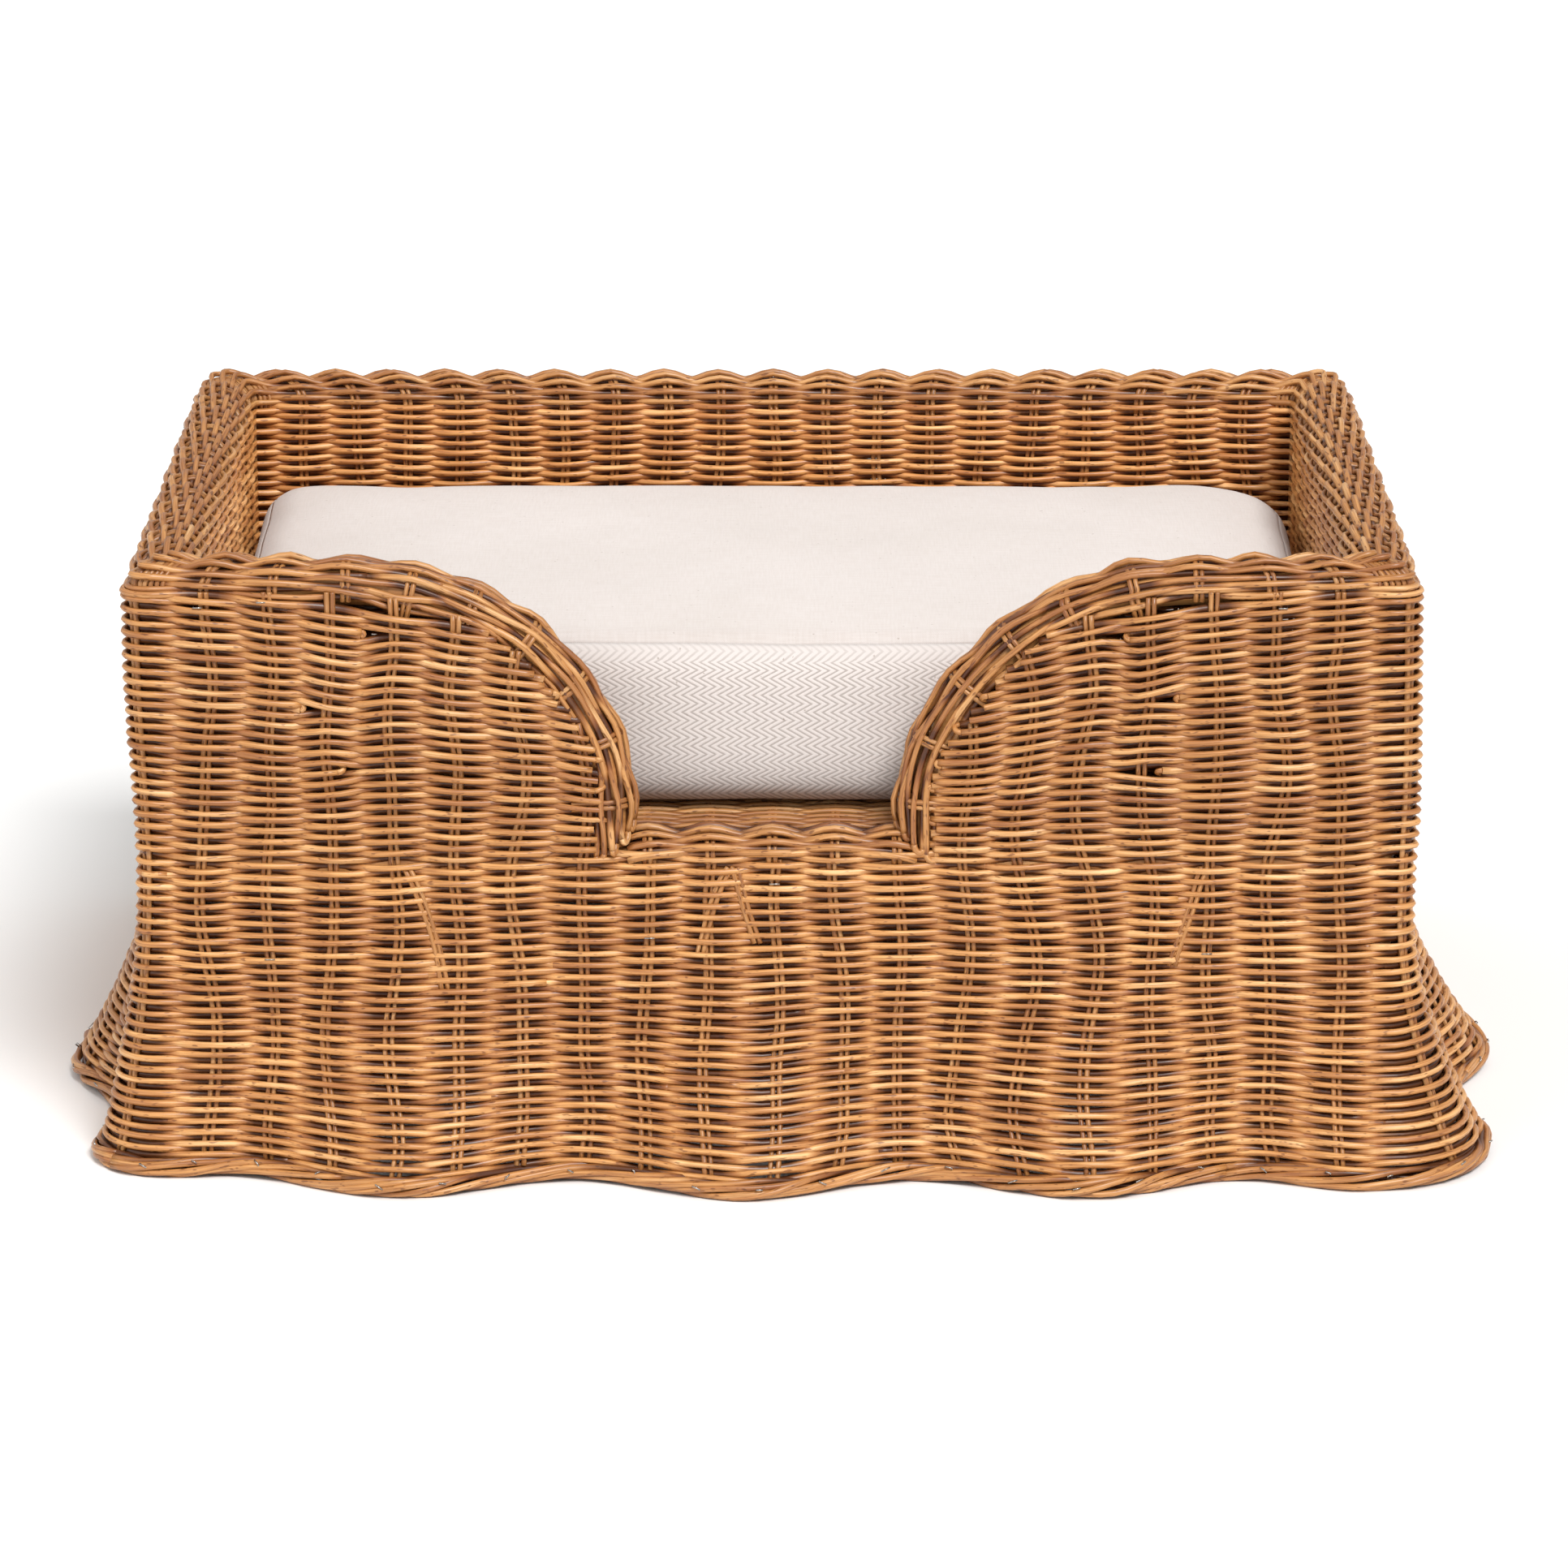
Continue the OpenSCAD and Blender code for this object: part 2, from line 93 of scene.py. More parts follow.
wing = {
    "curveWide": 160 * mm,
    "upright": 10 * mm,  # straight run under the curve
    "levelGaps": 3,  # stake gaps before the edge starts to fall
    "droop": 30 * mm,  # how far the top rows dip towards the entrance
    "innerDroop": 7 * mm,  # the same on the inner skin
    "dipFrom": 0.33,  # distance from the middle where the dip starts
    "dipOver": 0.22,
    "step": 5 * mm,  # spacing of the table of row heights
    "stepCount": 72,
    "rightReach": (3 * mm, 7 * mm),  # how much further the right wing reaches, high up and low down
    "reachFade": 9 * mm,
}
stakeCount = 2 * (basket["gapsAcross"] + basket["gapsAlong"])
cornerGaps = (0, basket["gapsAcross"], basket["gapsAcross"] + basket["gapsAlong"],
              stakeCount - basket["gapsAlong"])
skirtTall = basket["waist"] - skirtShape["hem"]
postY = basket["halfDeep"] - basket["rimRound"]
postX = basket["halfWide"] - basket["rimRound"]
sillTop = basket["waist"] + basket["rimRound"]
entranceHalf = -wingBox[1].x
levelRun = postX - entranceHalf - wing["curveWide"]  # level part of a wing's rim, from the corner post
wingWide = wing["curveWide"] - basket["rimRound"]
wingLow = sillTop + wing["upright"]


def clamp(value, low=0.0, high=1.0):
    return max(low, min(high, value))


def smooth(share):
    share = clamp(share)
    return share * share * (3 - 2 * share)


def planPoint(k, inset):
    # k counts stake gaps round the plan from the front left corner; inset is depth under the outer face
    # gives the point, its normal, its share along the side from -1 to 1, and whether that's a long side
    wide, deep = basket["halfWide"], basket["halfDeep"]
    sides = (
        (basket["gapsAcross"], wide, deep, Vector((1, 0, 0)), Vector((0, -1, 0))),
        (basket["gapsAlong"], deep, wide, Vector((0, 1, 0)), Vector((1, 0, 0))),
        (basket["gapsAcross"], wide, deep, Vector((-1, 0, 0)), Vector((0, 1, 0))),
        (basket["gapsAlong"], deep, wide, Vector((0, -1, 0)), Vector((-1, 0, 0))),
    )
    k = k % stakeCount
    for count, halfLen, halfOut, along, out in sides:
        if k <= count:
            break
        k -= count
    bend = max(basket["cornerRound"] - inset, basket["insideRound"])
    run = halfLen - inset - bend
    reach = (2 * k / count - 1) * (run + bend * math.pi / 4)
    turn = max(abs(reach) - run, 0) / bend
    side = math.copysign(1, reach)
    sideways = side * (min(abs(reach), run) + bend * math.sin(turn))
    outward = halfOut - inset - bend * (1 - math.cos(turn))
    normal = along * (side * math.sin(turn)) + out * math.cos(turn)
    return along * sideways + out * outward, normal, clamp(reach / run, -1, 1), abs(along.x) > 0.5


def flare(spot, share, across, v):
    # how far the skirt stands out at v, from 0 at the waist to 1 at the hem
    s = skirtShape
    v = clamp(v)
    left = spot.x < 0
    side = 0 if left else 1
    where = spot.x - s["acrossPhase"] if across else spot.y - s["alongPhase"][side]
    length = s["rearWave"] if where > 0 and not across else s["waveLength"]
    middle = (s["middle"] - s["corner"]) * (1 - abs(share) ** 3)
    if left and not across:
        middle -= s["leftTuck"] * (1 - share ** 6)
    wave = s["wave"] * (1 - share ** 6) * math.cos(2 * math.pi * where / length)
    extra = s["cornerExtra"][side] * smooth((abs(spot.x) - s["extraFrom"][0]) / s["extraOver"][0])
    extra *= smooth((-spot.y - s["extraFrom"][1]) / s["extraOver"][1])
    return v ** s["profile"] * (s["corner"] + middle + extra) + v * v * wave


def lean(z, normal):
    # the walls bulge under the rim and draw in at the waist, the ends more than the long sides
    above = z - basket["waist"]
    if above < 0:
        out = basket["leanLow"] * (z / basket["waist"]) ** 2
    else:
        out = basket["leanLow"]
        out += (basket["leanHigh"] - out) * smooth(above / basket["leanRise"])
    end = basket["endProud"] * smooth(z / basket["proudRise"])
    if normal.x > 0:
        end += basket["rightBulge"] * math.exp(-((above - basket["bulgeAt"]) / basket["bulgeTall"]) ** 2)
    return normal * out + Vector((end * normal.x, 0, 0))


def wander(k, z):
    # how far the stakes lean off their even spacing at that height, in gaps; none at the corners or the rim
    high, low = basket["calm"]
    k = k % stakeCount
    fade = smooth((basket["rimLine"] - z) / high) * smooth(z / low)
    fade *= smooth(min(abs(k - corner) for corner in (*cornerGaps, stakeCount)) / 1.6)
    return basket["wander"] * fade * noise.noise(Vector((k * 0.42, z * 13, 4)))


def cornerLift(k, inset):
    # the rows climb a little towards the corners
    spot, normal, share, across = planPoint(k, inset)
    reach = (1 - abs(share)) * (basket["halfWide"] if across else basket["halfDeep"])
    return basket["cornerRise"] * math.exp(-reach / basket["cornerReach"])


def skirtPlace(k, v, depth):
    # a point at that depth under the skirt's face, with the face's normal
    z = basket["waist"] - v * skirtTall
    spot, normal, share, across = planPoint(k + wander(k, z), 0)
    step = 0.02
    out = flare(spot, share, across, v)
    rise = (out - flare(spot, share, across, v - step)) / (step * skirtTall) if v > step else 0
    tilt = (normal + up * rise).normalized()
    return spot + normal * out + lean(z, normal) + up * z - tilt * depth, tilt


def wallPlace(k, z, depth):
    # a point of the walls at that height and depth, with the wall's normal
    k += wander(k, z)
    spot, normal, share, across = planPoint(k, depth)
    if depth < basket["rimRound"]:  # the stakes carry straight on from the skirt's
        face = planPoint(k, 0)[0] - normal * depth
        spot = face.lerp(spot, smooth((z - basket["waist"]) / (120 * mm))) + lean(z, normal)
    return spot + up * z, normal


def wingCurve(e):
    # the middle of the left wing's round edge, e metres from the corner, with its outward normal
    high = basket["rimLine"] - wingLow
    start = entranceHalf + wing["curveWide"]
    if e <= levelRun:
        return Vector((-postX + e, -postY, basket["rimLine"])), up.copy()
    steps = 60
    last = Vector((-start, -postY, basket["rimLine"]))
    gone = levelRun
    for i in range(1, steps + 1):
        a = math.pi / 2 * i / steps
        here = Vector((wingWide * math.sin(a) - start, -postY, wingLow + high * math.cos(a)))
        hop = (here - last).length
        if gone + hop >= e:
            share = (e - gone) / hop
            b = a - math.pi / 2 / steps * (1 - share)
            normal = Vector((high * math.sin(b), 0, wingWide * math.cos(b))).normalized()
            return last.lerp(here, share), normal
        gone += hop
        last = here
    return last - up * (e - gone), Vector((1, 0, 0))


def wingLength():
    e = levelRun
    while wingCurve(e)[0].z > basket["waist"]:
        e += mm
    return e


def edgeAcross(z):
    # distance from the middle to the middle line of the wing's edge at height z
    share = clamp((z - wingLow) / (basket["rimLine"] - wingLow))
    return entranceHalf + wing["curveWide"] - wingWide * math.sqrt(1 - share ** 2)


def gapsAt(x, inset):
    # the front stake coordinate at x
    bend = max(basket["cornerRound"] - inset, basket["insideRound"])
    half = basket["halfWide"] - inset - bend + bend * math.pi / 4
    return (x / half + 1) / 2 * basket["gapsAcross"]


wingEnd = wingLength()
wingGap = 34.4 * mm  # stake spacing along the wing's edge


def rightReach(z):
    # how much further the right wing reaches at height z
    high, low = wing["rightReach"]
    reach = low + (high - low) * smooth((z - 0.22) / 0.06)
    return reach * smooth((basket["rimLine"] - z) / wing["reachFade"])


def rimPlace(k, turn, radius):
    # a point on the round rim: turn 0 faces out, 90 up, 180 in; past the corners it follows the wings
    k = k % stakeCount
    flip = basket["gapsAcross"] / 2 < k < basket["gapsAcross"]
    onward = basket["gapsAcross"] - k if flip else k
    turnIn = 1.5  # gaps before the rim leaves the plan's corner for the wing
    a = math.radians(turn)
    inset = basket["rimRound"] - radius * math.cos(a)
    if onward >= basket["gapsAcross"] or onward <= turnIn:
        spot, normal, share, across = planPoint(onward, inset)
        point = spot + up * (basket["rimLine"] + radius * math.sin(a))
        point.x += basket["endProud"] * normal.x * max(math.cos(a), 0)
        normal = normal * math.cos(a) + up * math.sin(a)
    else:
        if onward <= wing["levelGaps"]:
            startX = planPoint(turnIn, inset)[0].x
            share = (onward - turnIn) / (wing["levelGaps"] - turnIn)
            middle, edge = wingCurve(0)
            middle.x = startX + (-entranceHalf - wing["curveWide"] - startX) * share
        else:
            middle, edge = wingCurve(levelRun + (onward - wing["levelGaps"]) * wingGap)
        normal = edge * math.sin(a) + Vector((0, -1, 0)) * math.cos(a)
        point = middle + normal * radius
    if flip:
        point.x, normal.x = -point.x - rightReach(point.z), -normal.x
    return point, normal


def addObject(name, data):
    made = bpy.data.objects.new(name, data)
    bpy.context.collection.objects.link(made)
    return made


def objectFrom(bm, name):
    mesh = bpy.data.meshes.new(name)
    bm.to_mesh(mesh)
    bm.free()
    return addObject(name, mesh)


def strandMesh(name, strands, sides=6):
    # every strand is a round rod along its points; the mesh keeps each one's tone and grain coordinates
    curve = bpy.data.curves.new(name, "CURVE")
    curve.dimensions = "3D"
    curve.bevel_depth = 1
    curve.bevel_resolution = (sides - 4) // 2
    curve.use_fill_caps = True
    for strand in strands:
        spline = curve.splines.new("POLY")
        spline.points.add(len(strand["points"]) - 1)
        spline.points.foreach_set("co", [c for p in strand["points"] for c in (p.x, p.y, p.z, 1)])
        spline.points.foreach_set("radius", strand["radii"])
    holder = addObject(name + "Curve", curve)
    bpy.context.view_layer.update()
    mesh = bpy.data.meshes.new_from_object(holder)
    bpy.data.objects.remove(holder)
    bpy.data.curves.remove(curve)
    mesh.name = name
    # the caps come first, last strand foremost, then the sides in order
    rings = [(s, i) for s in reversed(strands) for i in (-1, 0)]
    rings += [(s, i) for s in strands for i in range(len(s["points"]))]
    if len(mesh.vertices) != len(rings) * sides:
        raise RuntimeError(f"{name}: {len(mesh.vertices)} points for {len(rings)} rings")
    for strand in strands:
        gone = [0.0]
        for a, b in zip(strand["points"], strand["points"][1:]):
            gone.append(gone[-1] + (b - a).length)
        strand["gone"] = gone
    circle = [(math.cos(2 * math.pi * i / sides), math.sin(2 * math.pi * i / sides)) for i in range(sides)]
    tones, depths, grain = [], [], []
    for strand, i in rings:
        shift, radius = strand["tone"] * 37, strand["radii"][i]
        for c, s in circle:
            grain += [strand["gone"][i] + shift, radius * c + shift, radius * s]
        tones += [strand["tone"]] * sides
        depths += [strand["depths"][i] if "depths" in strand else 0.0] * sides
    mesh.attributes.new("tone", "FLOAT", "POINT").data.foreach_set("value", tones)
    # the depth also drives the painted shade in the cane's colour where a strand runs behind
    mesh.attributes.new("depth", "FLOAT", "POINT").data.foreach_set("value", depths)
    mesh.attributes.new("grain", "FLOAT_VECTOR", "POINT").data.foreach_set("vector", grain)
    mesh.shade_smooth()
    bm = bmesh.new()
    bm.from_mesh(mesh)
    bmesh.ops.remove_doubles(bm, verts=bm.verts, dist=0.001 * mm)
    bm.to_mesh(mesh)
    bm.free()
    return addObject(name, mesh)


def oneStrand(points, radius, tone, taper=0.0):
    count = len(points)
    radii = [radius * (1 - taper * (1 - min(i, count - 1 - i, 1))) for i in range(count)]
    return {"points": points, "radii": radii, "tone": tone}


# extra points keep the rows round at the corners
closeSteps = [lap * stakeCount + corner + 0.07 * i
              for lap in (0, 1, 2) for corner in cornerGaps for i in range(-4, 5)]


core = {
    "tail": (0.25, 0.55),  # gaps that a piece runs on behind its last stake
    "lift": 0.22 * mm,  # most that a piece lies off its row
    "thickness": (0.88, 1.1),  # of the row's own radius
    "uneven": 0.08,
}


def weaveRow(strandAt, row, start, end, weave, rng):
    # one row in pieces of core, each piece starting and ending behind a stake
    # strandAt(k, swing, lift) gives a point, or a point and how far behind it lies
    strands = []
    stops = [start]
    while True:
        k = math.ceil(stops[-1]) + rng.randint(*weave["pieceGaps"])
        if (k + row) % 2 == 0:
            k += 1
        if k > end - 3:
            break
        stops.append(k)
    stops.append(end)
    seed = rng.random() * 90
    for i in range(len(stops) - 1):
        tail = rng.uniform(*core["tail"])
        a = stops[i] - (tail if i else 0)
        b = stops[i + 1] + (tail if i < len(stops) - 2 else 0)
        steps = weave["pointsPerGap"]
        ks = [a] + [n / steps for n in range(math.floor(a * steps) + 1, math.ceil(b * steps))] + [b]
        ks = sorted(set(ks + [k for k in closeSteps if a < k < b]))
        lift = rng.uniform(-core["lift"], core["lift"])
        thick = weave["radius"] * rng.uniform(*core["thickness"])
        points, radii, depths = [], [], []
        for k in ks:
            swing = math.cos(math.pi * (k + row))
            depths.append(clamp(0.5 - swing * 0.5))
            sway = noise.noise(Vector((k * 0.45, seed, 0))) * weave["sway"]
            wobble = 1 + 0.12 * noise.noise(Vector((k * 0.7, seed, 5)))
            spot = strandAt(k, weave["swing"] * swing * wobble, lift + sway)
            if isinstance(spot, tuple):
                spot, depths[-1] = spot
            points.append(spot)
            fuller = 1 + weave["under"] * depths[-1]  # packed tighter where it runs behind
            radii.append(thick * fuller * (1 + core["uneven"] * noise.noise(Vector((k * 0.3, seed, 9)))))
        strands.append({"points": points, "radii": radii, "tone": rng.random(), "depths": depths})
    return strands


def hairpin(first, second, out, radius, tone):
    # the turned end that joins two rows
    middle = (first + second) / 2
    half = (first - second) / 2
    points = []
    for i in range(7):
        a = math.pi * i / 6
        points.append(middle + half * math.cos(a) + out * half.length * 1.15 * math.sin(a))
    return {"points": points, "radii": [radius] * 7, "tone": tone}


def drift(point, amount):
    # slow wander that neighbouring rows share
    return amount * noise.noise(point * 11) + 0.5 * amount * noise.noise(point * 27 + Vector((7, 3, 1)))


rowWeave = {
    "radius": 1.7 * mm,
    "swing": 2.95 * mm,  # how far a row goes in and out round the stakes
    "pointsPerGap": 5,
    "pieceGaps": (7, 24),  # shortest and longest piece of core
    "sway": 0.35 * mm,
    "under": 0.55,  # extra thickness where it runs behind
}
rowPitch = 3.2 * mm
skirtPitch = 3.3 * mm


def skirtProfile():
    # v of each row, equally spaced down the slope
    table = [(0.0, 0.0)]
    for i in range(1, 201):
        v = i / 200
        out = [skirtShape["middle"] * w ** skirtShape["profile"] for w in (v - 0.005, v)]
        table.append((v, table[-1][1] + math.hypot(skirtTall * 0.005, out[1] - out[0])))
    slope = table[-1][1]
    count = round(slope / skirtPitch)
    return [next(v for v, gone in table if gone >= (n + 0.5) * slope / count) for n in range(count)]


def skirtRows(rows, first, rng):
    strands = []
    for n, v in enumerate(rows):

        def strandAt(k, swing, lift, v=v):
            base = skirtPlace(k, v, 0)[0]
            rise = cornerLift(k, 0) * (1 - v) ** 1.5
            moved = v - (drift(base, basket["drift"]) * (1 - v ** 4) + rise + lift) / skirtTall
            point, normal = skirtPlace(k, min(moved, 1), basket["stakePlane"])
            return point + normal * swing

        begin = rng.randint(0, stakeCount - 1)
        strands += weaveRow(strandAt, first + n, begin, begin + stakeCount + 0.4, rowWeave, rng)
    return strands


shortRows = {
    "first": 13,  # lowest row that may stop short with its neighbour
    "every": 14,
    "stop": (0.165, 0.26),  # how far from the middle such a pair ends
    "close": 26 * mm,  # run over which the rows beside it close up
    "bare": 8 * mm,
}


def wingStack(count, low, high, shorts, droop):
    # each row's height at steps across a wing: rows dip towards the entrance, and close up past a short pair
    table = []
    for i in range(wing["stepCount"]):
        x = i * wing["step"]
        fill = [1.0] * count
        for n, stop in shorts:
            fill[n] = fill[n + 1] = smooth((x - stop) / shortRows["close"] + 0.5)
        dip = droop * clamp((wing["dipFrom"] - x) / wing["dipOver"], 0, 1.1) ** 1.5
        pitch = (high - dip - low) / sum(fill)
        z, heights = low, []
        for share in fill:
            heights.append(z + share * pitch / 2)
            z += share * pitch
        table.append(heights)
    return table


def heightIn(table, n, x):
    where = clamp(abs(x) / wing["step"], 0, len(table) - 1.001)
    i = int(where)
    return table[i][n] + (table[i + 1][n] - table[i][n]) * (where - i)


endGaps = [gap * mm for gap in (6.2, 3.6, 5.4, 2.6, 4.8, 3.2, 6.8)]  # rows stop short of the wing's border


def wallRows(depth, inward, low, high, first, rng):
    # rows above the waist, open at the entrance; inward is 1 on the outer skin and -1 on the inner one
    outside = inward > 0
    count = round((high - low) / rowPitch)
    pairs = range(shortRows["first"], count - 6, shortRows["every"])
    shorts = [[(n + rng.randint(0, 3), rng.uniform(*shortRows["stop"])) for n in pairs] for side in (0, 1)]
    droop = wing["droop"] if outside else wing["innerDroop"]
    tables = [wingStack(count, low, high, short, droop) for short in shorts]
    rows, ends = [], []
    for n in range(count):
        level = low + (n + 0.5) * (high - low) / count

        def strandAt(k, swing, lift, level=level, n=n):
            plain, normal, share, across = planPoint(k, depth)
            z = heightIn(tables[0 if plain.x < 0 else 1], n, plain.x) if normal.y < -0.7 else level
            fade = clamp((high - level) / (8 * mm)) * (1 if outside else clamp((level - low) / (8 * mm)))
            z += cornerLift(k, depth) * fade * (1 if outside else 0.3)
            z += drift(plain + up * level, basket["drift"]) * fade + lift
            spot, normal = wallPlace(k, z, depth)
            return spot + normal * (swing * inward)

        if outside and level < basket["waist"] + 7 * mm:  # the lowest rows run on under the sill
            begin = rng.randint(0, stakeCount - 1)
            rows.append(weaveRow(strandAt, first + n, begin, begin + stakeCount + 0.4, rowWeave, rng))
            continue
        stops = []
        for side in (0, 1):
            x = 0.2
            for i in range(12):
                z = heightIn(tables[side], n, x)
                x = edgeAcross(z) + endGaps[n % len(endGaps)] - (rightReach(z) if side else 0)
            ended = [stop + shortRows["bare"] for pair, stop in shorts[side] if n in (pair, pair + 1)]
            stops.append(max([x] + ended))
        reach = [gapsAt(-stop, depth) for stop in stops]
        bounds = [k - wander(k, level) for k in (basket["gapsAcross"] - reach[1], stakeCount + reach[0])]
        made = weaveRow(strandAt, first + n, bounds[0], bounds[1], rowWeave, rng)
        rows.append(made)
        ends.append((n, made[0]["points"][0], made[-1]["points"][-1], made[0]["tone"], made[-1]["tone"]))
    for side in (0, 1):
        joined = [pair for pair, stop in shorts[side]]
        taken = {n for pair in joined for n in (pair, pair + 1)}
        for lower, upper in zip(ends, ends[1:]):
            if lower[0] not in joined and (lower[0] in taken or upper[0] in taken or lower[0] % 7):
                continue
            a, b = lower[2 - side], upper[2 - side]
            if abs(a.x - b.x) < 5 * mm:
                out = Vector((1 if side == 0 else -1, 0, 0))
                rows[lower[0]].append(hairpin(a, b, out, rowWeave["radius"], lower[4 - side]))
    middle = count // 2
    return [s for row in rows[:middle] for s in row], [s for row in rows[middle:] for s in row]


rimWeave = {
    "radius": 1.85 * mm,
    "swing": 2.7 * mm,
    "pointsPerGap": 5,
    "pieceGaps": (9, 26),
    "sway": 0.4 * mm,
    "under": 0.15,
    "rows": 15,
    "slide": (34, 20),  # degrees that the rows spread down the wing's outer and inner face
    "stray": (2.5, 18),  # degrees that a row strays, along the walls and more on the wings
    "back": (3, 18),  # mm that the rows' ends stop short, and more over the top
    "scallop": 1.2 * mm,
    "heave": 3.6 * mm,
}


def rimRows(rng):
    strands, ends = [], []
    middle = basket["rimRound"] - basket["stakePlane"]
    for n in range(rimWeave["rows"]):
        turn = 180 * (n + 0.5) / rimWeave["rows"]
        seed = rng.random() * 50
        back = rimWeave["back"][0] + rimWeave["back"][1] * clamp((turn - 10) / 80)
        reach = wing["levelGaps"] + (wingEnd - levelRun - back * mm) / wingGap

        def strandAt(k, swing, lift, turn=turn, seed=seed):
            past = max(min(k % stakeCount, basket["gapsAcross"] - k % stakeCount), 0)
            onWing = clamp((past - 0.2) / 3.6)
            plain, extra = rimWeave["stray"]
            stray = (plain + extra * onWing) * noise.noise(Vector((k * 0.5 + past * 0.4, seed, 2)))
            ridge = math.cos(2 * math.pi * k) * math.sin(math.radians(turn))
            scallop = rimWeave["scallop"] * (1 - 0.4 * onWing) * ridge
            heave = rimWeave["heave"] * onWing * noise.noise(Vector((k * 1.1, seed, 8)))
            outside, inside = rimWeave["slide"]
            face = turn + onWing * (outside * (turn / 180 - 1) + inside * turn / 180)
            radius = middle + swing * (1 - 0.5 * onWing) + scallop + heave
            point, normal = rimPlace(k, face + stray + math.degrees(lift / middle), radius)
            return point, clamp(0.45 - (swing + 1.2 * heave) / (5 * mm))

        made = weaveRow(strandAt, n, basket["gapsAcross"] - reach, stakeCount + reach, rimWeave, rng)
        strands += made
        ends.append((made[0], made[-1]))
    for n in range(0, len(ends) - 1, 2):
        for i, last in ((0, 0), (1, -1)):
            a, b = ends[n][i]["points"], ends[n + 1][i]["points"]
            out = (a[last] - a[1 if last == 0 else -2]).normalized()
            strands.append(hairpin(a[last], b[last], out, rimWeave["radius"], ends[n][i]["tone"]))
    return strands


sillWeave = {
    "radius": 2.0 * mm,
    "swing": 2.3 * mm,
    "pointsPerGap": 6,
    "pieceGaps": (40, 50),  # longer than the sill, so every row is one piece
    "sway": 0.6 * mm,
    "under": 0.1,
    "rows": 13,
    "arc": (14, 152),  # degrees where the rows start and how far they go round
    "past": 7 * mm,  # how far they run in beside the wings
    "sag": 4.5 * mm,
    "scallop": 1 * mm,
}


def sillRows(rng):
    strands = []
    middle = basket["rimRound"] - basket["stakePlane"]
    half = entranceHalf + sillWeave["past"]
    start = gapsAt(-half, basket["stakePlane"])
    for n in range(sillWeave["rows"]):
        turn = sillWeave["arc"][0] + sillWeave["arc"][1] * (n + 0.5) / sillWeave["rows"]

        def strandAt(k, swing, lift, turn=turn):
            x = planPoint(k, basket["stakePlane"])[0].x
            a = math.radians(turn)
            sag = sillWeave["sag"] * (abs(x) / half) ** 6 * max(math.cos(a), 0)
            reach = middle + swing + sillWeave["scallop"] * math.cos(2 * math.pi * k)
            shaded = clamp(0.5 - swing / (6 * mm)) + 0.55 * clamp((turn - 60) / 50)
            z = basket["waist"] + reach * math.sin(a) - sag + lift
            return Vector((x, -postY - reach * math.cos(a), z)), shaded

        strands += weaveRow(strandAt, n, start, basket["gapsAcross"] - start, sillWeave, rng)
    return strands


stakeRod = {
    "radius": 1.46 * mm,
    "apart": 1.6 * mm,  # half the distance between a pair's rods
    "step": 9 * mm,
    "skirtStep": 0.052,
    "spreads": (0, 0, 0.2, 0.5, 1.0),  # mm that a pair may open towards the hem
    "slantedDepth": 3.8 * mm,
    "third": 3.1 * mm,  # offset of the third rod round a wing
    "tails": (6, 20),  # mm that the rim's rods run on down a wall and down a wing
    "bound": (-0.32, -0.14, 0.13, 0.3),  # extra pairs that bind a corner
}


def pairOf(path, rng, spread=0.0):
    # two rods side by side along a path of (point, sideways direction)
    rods = []
    for side in (-1, 1):
        seed = rng.random() * 60
        points = []
        for i, (point, sideways) in enumerate(path):
            sway = 0.35 * mm * noise.noise(Vector((i * 0.5, seed, 0)))
            gap = stakeRod["apart"] + spread * (1 - i / len(path)) ** 2
            points.append(point + sideways * (side * gap + sway))
        rod = oneStrand(points, stakeRod["radius"] * rng.uniform(0.92, 1.1), rng.random())
        rod["depths"] = [0.3] * len(points)
        rods.append(rod)
    return rods


def sidewaysOf(normal):
    return Vector((-normal.y, normal.x, 0)).normalized()


def upWall(path, k, z, top, depth):
    # the stake's run from height z up to its top
    sideways = sidewaysOf(wallPlace(k, basket["rimLine"], depth)[1])
    while z < top:
        path.append((wallPlace(k, z, depth)[0], sideways))
        z += stakeRod["step"]
    path.append((wallPlace(k, top, depth)[0], sideways))
    return path


def outerStakes(rng):
    strands = []
    plane = basket["stakePlane"]
    middle = basket["rimRound"] - plane
    for k in range(stakeCount):
        path = []
        v = 1.0
        while v > 0.02:
            point, normal = skirtPlace(k, v, plane)
            path.append((point, sidewaysOf(normal)))
            v -= stakeRod["skirtStep"]
        spot = wallPlace(k, basket["rimLine"], plane)[0]
        onFront = 0 < k < basket["gapsAcross"]
        top = basket["rimLine"]
        overSill = onFront and abs(spot.x) < entranceHalf + 8 * mm
        if onFront and abs(spot.x) < entranceHalf + wing["curveWide"]:
            top = basket["waist"] + 1 * mm if overSill else min(edgeHeight(abs(spot.x)) - 1 * mm, top)
        upWall(path, k, basket["waist"], top, plane)
        strands += pairOf(path, rng, rng.choice(stakeRod["spreads"]) * mm)
        if overSill:
            arc = []
            for i in range(9):
                a = math.radians(190 * i / 8 - 5)
                z = basket["waist"] + middle * math.sin(a)
                arc.append((Vector((spot.x, -postY - middle * math.cos(a), z)), Vector((1, 0, 0))))
            strands += pairOf(arc, rng)
    return strands


splitStakes = (  # gap at the waist, gap at the lower end, and how far down the skirt it goes
    (9.3, 8.86, 0.3),
    (9.36, 9.72, 0.26),
    (4.2, 4.75, 0.42),
    (16.9, 16.4, 0.34),
    (44.5, 44.05, 0.3),
    (51.2, 51.7, 0.36),
    (26.4, 26.8, 0.3),
    (61.3, 60.9, 0.28),
)


